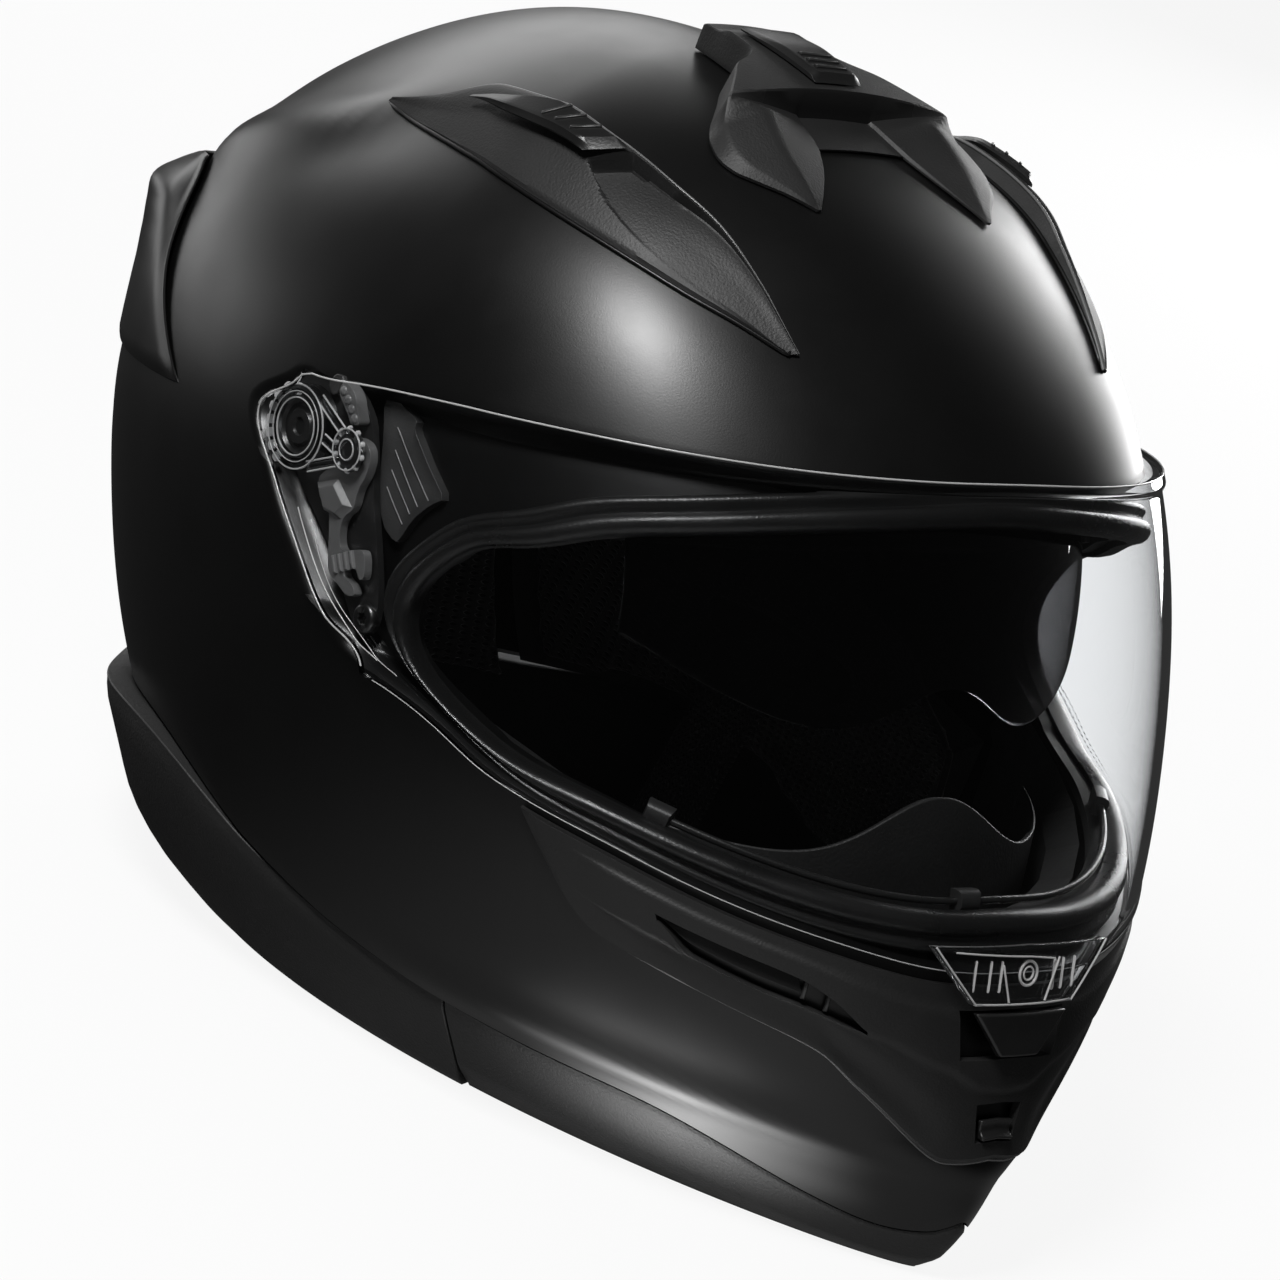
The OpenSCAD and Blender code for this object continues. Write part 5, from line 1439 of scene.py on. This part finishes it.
for side, word in ((1, "right"), (-1, "left")):
    rr, qq = grid(np.array([.6, .85, 1.1, 1.35, 1.6, 1.8, 2.0, 2.2, 2.5, 2.8, 3.1, 3.4, 3.7, 4.0, 4.2, 4.4]),
                         np.array([5.12, 5.25, 5.4, 5.6, 5.85, 6.02, 6.2, 6.4, 6.65, 6.9, 7.1, 7.3, 7.5, 7.7,
                                   7.78]))
    gone = ((rr[:-1, :-1] >= 1.6) & (rr[:-1, :-1] < 2.2) & (qq[:-1, :-1] >= 6.2) & (qq[:-1, :-1] < 6.9))
    face = from_net(rr, side * qq, .735 - .038 * hill((qq - 5.1) / 2.7, (rr - .55) / 3.9))
    pad = put(slab("cheek_pad_" + word + "_mesh", from_net(rr, side * qq, .7925), face, "shell",
                   ["cheek_pad_" + word], gone=gone),
              NET_CLOTH)
    back_at = from_net(rr, side * qq, .7925).reshape(-1, 3)

    def cheek_face(p, back_at=back_at):
        d = np.min(np.linalg.norm(p[:, None, :] - back_at[None], axis=-1), 1)
        return step(2.5, 7.5, d)
    stuffed(pad, cheek_face, 3.2)
    lay_uv(pad, lambda p: np.stack([p[:, 1] + .25 * p[:, 0], p[:, 2] + .8 * p[:, 0]], -1))
    line_r = np.linspace(.7, 4.3, 30)
    edge = from_net(line_r, np.full(30, side * 5.13), np.full(30, .764))
    rod("cheek_piping_" + word, edge, 1.1, "shell", WEBBING)
    st = np.linspace(1.0, 4.1, 26)
    seam = from_net(st, np.full(26, side * 5.3),
                    .735 - .038 * hill((np.full(26, 5.3) - 5.1) / 2.7, (st - .55) / 3.9) - .014)
    sown("cheek_stitches_" + word, seam, np.array([0, 8, 60]) - seam, np.gradient(seam, axis=0), BEAD,
         (2.6, .7, .5),
         WEBBING, "shell")
    print(pad.name, len(pad.data.polygons), "faces")

# %% [markdown]
# The crown pad lines the dome and the neck roll closes the back. Both are channelled,
# so that air can pass over the head: the channels are drawn into their faces.

# %% Crown pad and neck roll
rr, qq = grid(np.concatenate([np.linspace(4.62, 6.6, 9), np.linspace(6.85, 10.6, 20), [10.8, 10.95, 11]]),
              SHELL_COLS[::2])
front_gone = (rr[:-1] < 6.6 - 1e-6)[:, :1] & (np.abs(SHELL_COLS[::2]) < 6.05)[None]
pocket_k = .747 - .008 * np.abs(np.sin(np.pi * qq * .78)) ** .7 * step(11, 9.8, rr) - .006 * step(6.7, 7.6, rr)
crown = put(slab("crown_pad_mesh", from_net(rr, qq, .793), from_net(rr, qq, pocket_k), "shell", ["crown_pad"],
                 wrap=True, pole=True,
                 gone=front_gone, bevel=0), NET_CLOTH)
rounded(crown)


def round_head(p):
    d = p - np.array([0, 8, 100.0])
    turn = np.arctan2(d[:, 0], -d[:, 1])
    return np.stack([turn * 80, np.arctan2(d[:, 2], np.hypot(d[:, 0], d[:, 1])) * 100], -1)


lay_uv(crown, round_head)
rr, qq = grid(np.linspace(.25, 4.15, 20), np.linspace(7.98, 10.02, 42))
qq = np.where(qq > 9, qq - 18, qq)
v, u = net(rr, qq)
roll_k = .735 - .018 * np.sin(math.pi * np.clip((rr - .2) / 4.2, 0, 1)) + .007 * bump(rr, 2.2, .35)
roll = put(slab("neck_roll_mesh", inner(u, v, .785), inner(u, v, roll_k), "shell", ["neck_roll"]), NET_CLOTH)
roll_back = inner(u, v, .785).reshape(-1, 3)


def roll_face(p):
    return step(2.5, 7.0, np.min(np.linalg.norm(p[:, None, :] - roll_back[None], axis=-1), 1))


stuffed(roll, roll_face, 2.5)
lay_uv(roll, round_head)
print("crown pad", len(crown.data.polygons), "faces; neck roll", len(roll.data.polygons))

# %% [markdown]
# The chin curtain is a flat piece of cloth stretched under the chin, and the breath
# deflector is a soft rubber shield over the nose. Its nose panel is embossed.

# %% Chin curtain and breath deflector
kk, aa2 = grid(np.linspace(.722, .918, 12), np.linspace(.578, -.578, 60))
hem = inner(np.full(kk.shape, .75), aa2, kk)
hem[..., 2] = 9.9 - 10 * (.92 - kk) - .5 * bump(kk, .82, .1)
under = hem.copy()
under[..., 2] -= 1.0
curtain = put(slab("chin_curtain_cloth", hem, under, "shell", ["chin_curtain"], bevel=.25),
              NET_CLOTH)
lay_uv(curtain, lambda p: p[:, :2])
b, a = grid(np.linspace(0, 1, 44), np.linspace(-1, 1, 121))
v = a * .56
high = 4.32 + .5 * np.exp(-(v / .16) ** 2)
u = mix(2.9, high, b)
boss = (.0042 * bump(v, 0, .13) * step(.35, .45, b)
        + .0028 * (step(.30, .33, b) * (1 - step(.9, .97, b)) * (1 - step(.055, .065, np.abs(v)))))
shelf = .004 * step(.335, .35, np.abs(v)) * step(.5, .55, b)
put(slab("deflector", inner(u, v, .8375), inner(u, v, .8275 - boss + shelf), "shell", ["breath_deflector"],
         bevel=.5), SOFT_RUBBER)
print("deflector made")

# %% [markdown]
# The drop-down sun visor is a smoke sheet turned about its own hinge line, with a dip
# for the nose, carried by two arms and drawn up by a lever on the left rim.

# %% Sun visor, arms and lever
def on_sun(x, a, t):
    r = 131 - 38 * (np.abs(x) / 84) ** 2.2 - t
    return np.stack([x, 5 - r * np.cos(np.radians(a)), 120 + r * np.sin(np.radians(a))], -1)


b, x = grid(np.linspace(0, 1, 30), np.linspace(82, -82, 101))
low = 1 + 7 * np.exp(-(x / 24) ** 2) + 10 * (np.abs(x) / 84) ** 3
put(slab("sun_visor_sheet", on_sun(x, mix(low, 33, b), 0), on_sun(x, mix(low, 33, b), 2), "sun_visor",
         ["sun_visor"], bevel=.5),
    SMOKE)
ARM_LINE = [[12, 106, 5], [6, 106, 8], [-2, 106, 7], [-14, 105.4, 6], [-30, 102, 6], [-45, 96, 6],
            [-58, 89, 6.5], [-69, 83.6, 7.5], [-78, 83.2, 8]]
fore = np.linspace(-78, 12, 50)
arm_x, arm_w = table(ARM_LINE[::-1], fore, 1), table(ARM_LINE[::-1], fore, 2)
for s, word in ((-1, "right"), (1, "left")):
    e = np.linspace(-.5, .5, 9)[:, None]
    yy, zz = fore[None] + e * arm_w[None], 120 + (5 - fore[None]) * .575 + e * arm_w[None] * 1.72
    top = np.stack([np.broadcast_to(s * (arm_x[None] + .85), yy.shape), yy, zz], -1)
    low_side = np.stack([np.broadcast_to(s * (arm_x[None] - .95), yy.shape), yy, zz], -1)
    put(slab("sun_arm_" + word, top, low_side, "sun_visor", ["sun_visor_arm_" + word],
             bevel=.4), SMOOTH)
xx, yy = grid(np.linspace(64.6, 67.9, 6), np.linspace(-45.9, -30.1, 20))
top = np.stack([xx, yy, 10.9 - .02 * (yy + 38) ** 2 * .4], -1)
low_side = np.stack([xx, yy, np.full(xx.shape, 3.1)], -1)
put(slab("sun_lever_knob", top, low_side, "sun_visor_lever", ["sun_visor_lever"],
         bevel=.5), SMOOTH)
sown("sun_lever_ridges", [[64.6, -43.4 + 2.6 * k, 7] for k in range(5)], [-1, 0, 0], [0, 0, 1], BAR,
     (5.6, 1.1, .8), SMOOTH, "sun_visor_lever")
print("sun visor drop 35 degrees")

# %% [markdown]
# The strap is woven webbing, modelled flat, because a simulation would erase its crisp
# edges. Its right half is folded round the two steel rings, and the fold is stitched.

# %% Chin straps
def webbing_strip(name, line, body, replaces, wide=24.0, thick=.95):
    p = np.asarray(line, float)
    s = np.concatenate([[0], np.cumsum(np.linalg.norm(np.diff(p, axis=0), axis=1))])
    t = np.linspace(0, s[-1], 70)
    way = np.stack([np.interp(t, s, p[:, 0]), np.interp(t, s, p[:, 1])], -1)
    for _ in range(4):
        way[1:-1] = (way[:-2] + 2 * way[1:-1] + way[2:]) / 4
    d = np.gradient(way, axis=0)
    d /= np.linalg.norm(d, axis=1, keepdims=True)
    away = np.stack([d[:, 1], -d[:, 0]], -1)
    y = np.linspace(3 + wide, 3, 9)
    belly = 1 - .35 * np.abs(np.linspace(-1, 1, 9)) ** 6
    top = np.stack([np.stack([way[:, 0] - away[:, 0] * thick * k, np.full(70, yy),
                              way[:, 1] - away[:, 1] * thick * k], -1) for yy, k in zip(y, belly)])
    low_s = np.stack([np.stack([way[:, 0] + away[:, 0] * thick * k, np.full(70, yy),
                                way[:, 1] + away[:, 1] * thick * k], -1) for yy, k in zip(y, belly)])
    piece = put(slab(name, top, low_s, body, replaces, smooth=60), WEBBING)
    lay_uv(piece, lambda q: np.stack([q[:, 1], q[:, 2] * 1.2 + q[:, 0] * .3], -1))
    return piece


RIGHT = [(-111.6, 99), (-104, 96), (-92, 89), (-80, 80), (-73, 69), (-67, 52), (-61.5, 33)]
LEFT = [(111.6, 99), (104, 96), (92, 89), (80, 80), (73, 69), (67, 52), (60.5, 30), (56, 12)]
webbing_strip("strap_right", RIGHT, "shell", ["chin_strap_right"])
webbing_strip("strap_left", LEFT, "shell", ["chin_strap_left"])
for k, cx in enumerate((-61.5, -55.6)):
    turn = np.linspace(0, 2 * math.pi, 32, endpoint=False)
    rings = [np.stack([cx + r * np.cos(turn), np.full(32, y), 30 + r * np.sin(turn)], -1) for r, y in
             ((1.86, 3), (2.95, 3), (3.1, 3.4), (3.1, 26.6), (2.95, 27), (1.86, 27))]
    loop = tidy(tube("strap_loop_%d" % (k + 1), rings, "shell", WEBBING, ()))
    lay_uv(loop, lambda q: np.stack([q[:, 1], q[:, 2] * 1.5], -1))
at = np.array([[-70.2 - .31 * dz, 4.2 + 21.6 * e, 60 - dz] for dz in (0, 6) for e in np.linspace(0, 1, 9)])
sown("strap_stitches", at, [-.95, 0, .3], [0, 1, 0], BEAD, (2.0, .7, .5), NYLON, "shell")
print("strap 24 mm wide")

# %% [markdown]
# Two small fittings sit just inside the lower eyeport: clips on the gasket with a glossy
# rail between them, which holds the deflector's edge.

# %% Clips and rail
lower = slice(0, 110)
q_low = np.linspace(-5, 5, 110)
rail_at = round_path(-3.4, -8.6)[lower][(np.abs(q_low) < 3.5)]
rod("deflector_rail", rail_at, 1.0, "shell", RUBBER)
for q0, word in ((-3.5, "left"), (3.5, "right"), (0.4, "middle")):
    k = int(np.argmin(np.abs(q_low - q0)))
    p = PATH[k]
    n = normal(p[1], p[0])
    across = surface(*(PATH + AWAY * 3)[k][::-1]) - surface(p[1], p[0])
    ahead = round_path(-2, -8)[k + 1] - round_path(-2, -8)[k - 1]
    sown("rail_clip_" + word, [round_path(-3.6, -10.6)[k]], [n], [ahead], BAR, (7 if q0 else 4, 5.6, 4.2),
         SMOOTH, "shell")
print("rail %.0f mm long" % np.linalg.norm(np.diff(rail_at, axis=0), axis=1).sum())
for unit in (BAR, BEAD, SCREW):
    bpy.data.objects.remove(unit)


# %% [markdown]
# The helmet is photographed on white. The floor is pale and takes its shadow; to the
# camera it glows white. Soft lamps stand where the photograph's highlights point: one
# above the wearer's right brow, strips behind for the rims of light. In the lacquer the
# floor shows as a dim glow with two brighter pools: a painted reflection.

# %% Floor, lamps and world
floor_mesh = bpy.data.meshes.new("floor")
floor_mesh.from_pydata([(-6, -6, 0), (6, -6, 0), (6, 6, 0), (-6, 6, 0)], [], [(0, 1, 2, 3)])
floor = new_object("floor", floor_mesh)
# painted reflection: pools where the floor glows to mirror rays only, which paint the highlight on the lower
# shell; place, size, turn, strength
PAINTED_REFLECTION_POOLS = [((-.16, -.24), (.34, .34), 0, .9), ((-.064, -.131), (.068, .015), -55, 17)]
pale, tree, skin = new_material("pale floor")
feed(tree, skin, {"Base Color": grey(.4), "Roughness": .9})
glow = node(tree, "ShaderNodeEmission", Strength=1.12)
path = tree.nodes.new("ShaderNodeLightPath").outputs
seen = math_node(tree, "MAXIMUM", path["Is Camera Ray"], path["Is Transmission Ray"])
pick = feed(tree, tree.nodes.new("ShaderNodeMixShader"),
            {0: math_node(tree, "MULTIPLY", seen, .8), 1: skin.outputs["BSDF"], 2: glow.outputs["Emission"]})
strength = .03
for at, spread_m, turn, power in PAINTED_REFLECTION_POOLS:
    pool_at = tree.nodes.new("ShaderNodeMapping")
    pool_at.vector_type = "TEXTURE"
    feed(tree, pool_at, {"Vector": here(tree), "Location": (*at, 0), "Rotation": (0, 0, math.radians(turn)),
                         "Scale": (*spread_m, 1)})
    pool = node(tree, "ShaderNodeTexGradient", Vector=pool_at.outputs["Vector"])
    pool.gradient_type = "QUADRATIC_SPHERE"
    strength = math_node(tree, "ADD", math_node(tree, "MULTIPLY", pool.outputs["Fac"], power), strength)
# Mirror rays see the floor as a dim glow plus the pools: a painted reflection, darker than the lit floor, with
# painted highlights from the pools.
painted_reflection = node(tree, "ShaderNodeEmission", Strength=strength)
mirror_ray = math_node(tree, "MULTIPLY", path["Is Glossy Ray"],
                       math_node(tree, "SUBTRACT", 1.0, path["Is Transmission Ray"]))
show = feed(tree, tree.nodes.new("ShaderNodeMixShader"),
            {0: mirror_ray, 1: pick.outputs["Shader"], 2: painted_reflection.outputs["Emission"]})
tree.links.new(show.outputs["Shader"], tree.nodes["Material Output"].inputs["Surface"])
floor_mesh.materials.append(pale)

world = bpy.data.worlds.new("studio")
bpy.context.scene.world = world
world.use_nodes = True
tree = world.node_tree
path = tree.nodes.new("ShaderNodeLightPath").outputs
seen = math_node(tree, "MAXIMUM", path["Is Camera Ray"], path["Is Transmission Ray"])
feed(tree, tree.nodes["Background"],
     {"Strength": math_node(tree, "ADD", math_node(tree, "MULTIPLY", seen, .97), .03), "Color": grey(1)})


def lamp(name, at, toward, wide, high, watts):
    data = bpy.data.lights.new(name, "AREA")
    data.shape, data.size, data.size_y, data.energy = "RECTANGLE", wide, high, watts
    obj = new_object(name, data)
    obj.location = at
    obj.rotation_mode = "QUATERNION"
    obj.rotation_quaternion = (Vector(toward) - Vector(at)).to_track_quat("-Z", "Y")
    return obj


lamp("key", (-.86, -.25, 1.38), (-.08, -.07, .2), .42, .42, 22)
lamp("back strip", (.45, 1.5, .8), (0, 0, .2), 1.6, .5, 7)
lamp("rear fill", (-.2, 1.6, .1), (0, 0, .12), 1.2, .3, 2)
lamp("far side strip", (1.5, .5, .45), (0, 0, .2), .5, .9, 12)
lamp("front fill", (-.7, -1.6, .5), (0, 0, .12), 1.2, .8, 2).visible_glossy = False
print("lamps:", len(bpy.data.lights))

STAYS = {"eps_liner": FOAM, "chin_liner": FOAM, "cheek_liner_right": FOAM, "cheek_liner_left": FOAM,
         "lever_pins": DARK_STEEL, "sun_visor_pins": DARK_STEEL, "strap_anchors": DARK_STEEL,
         "d_ring_outer": STEEL, "d_ring_inner": STEEL}
for name, node in frame["nodes"].items():
    if not node.hide_render:
        put(node, STAYS.get(name, GRAINED))
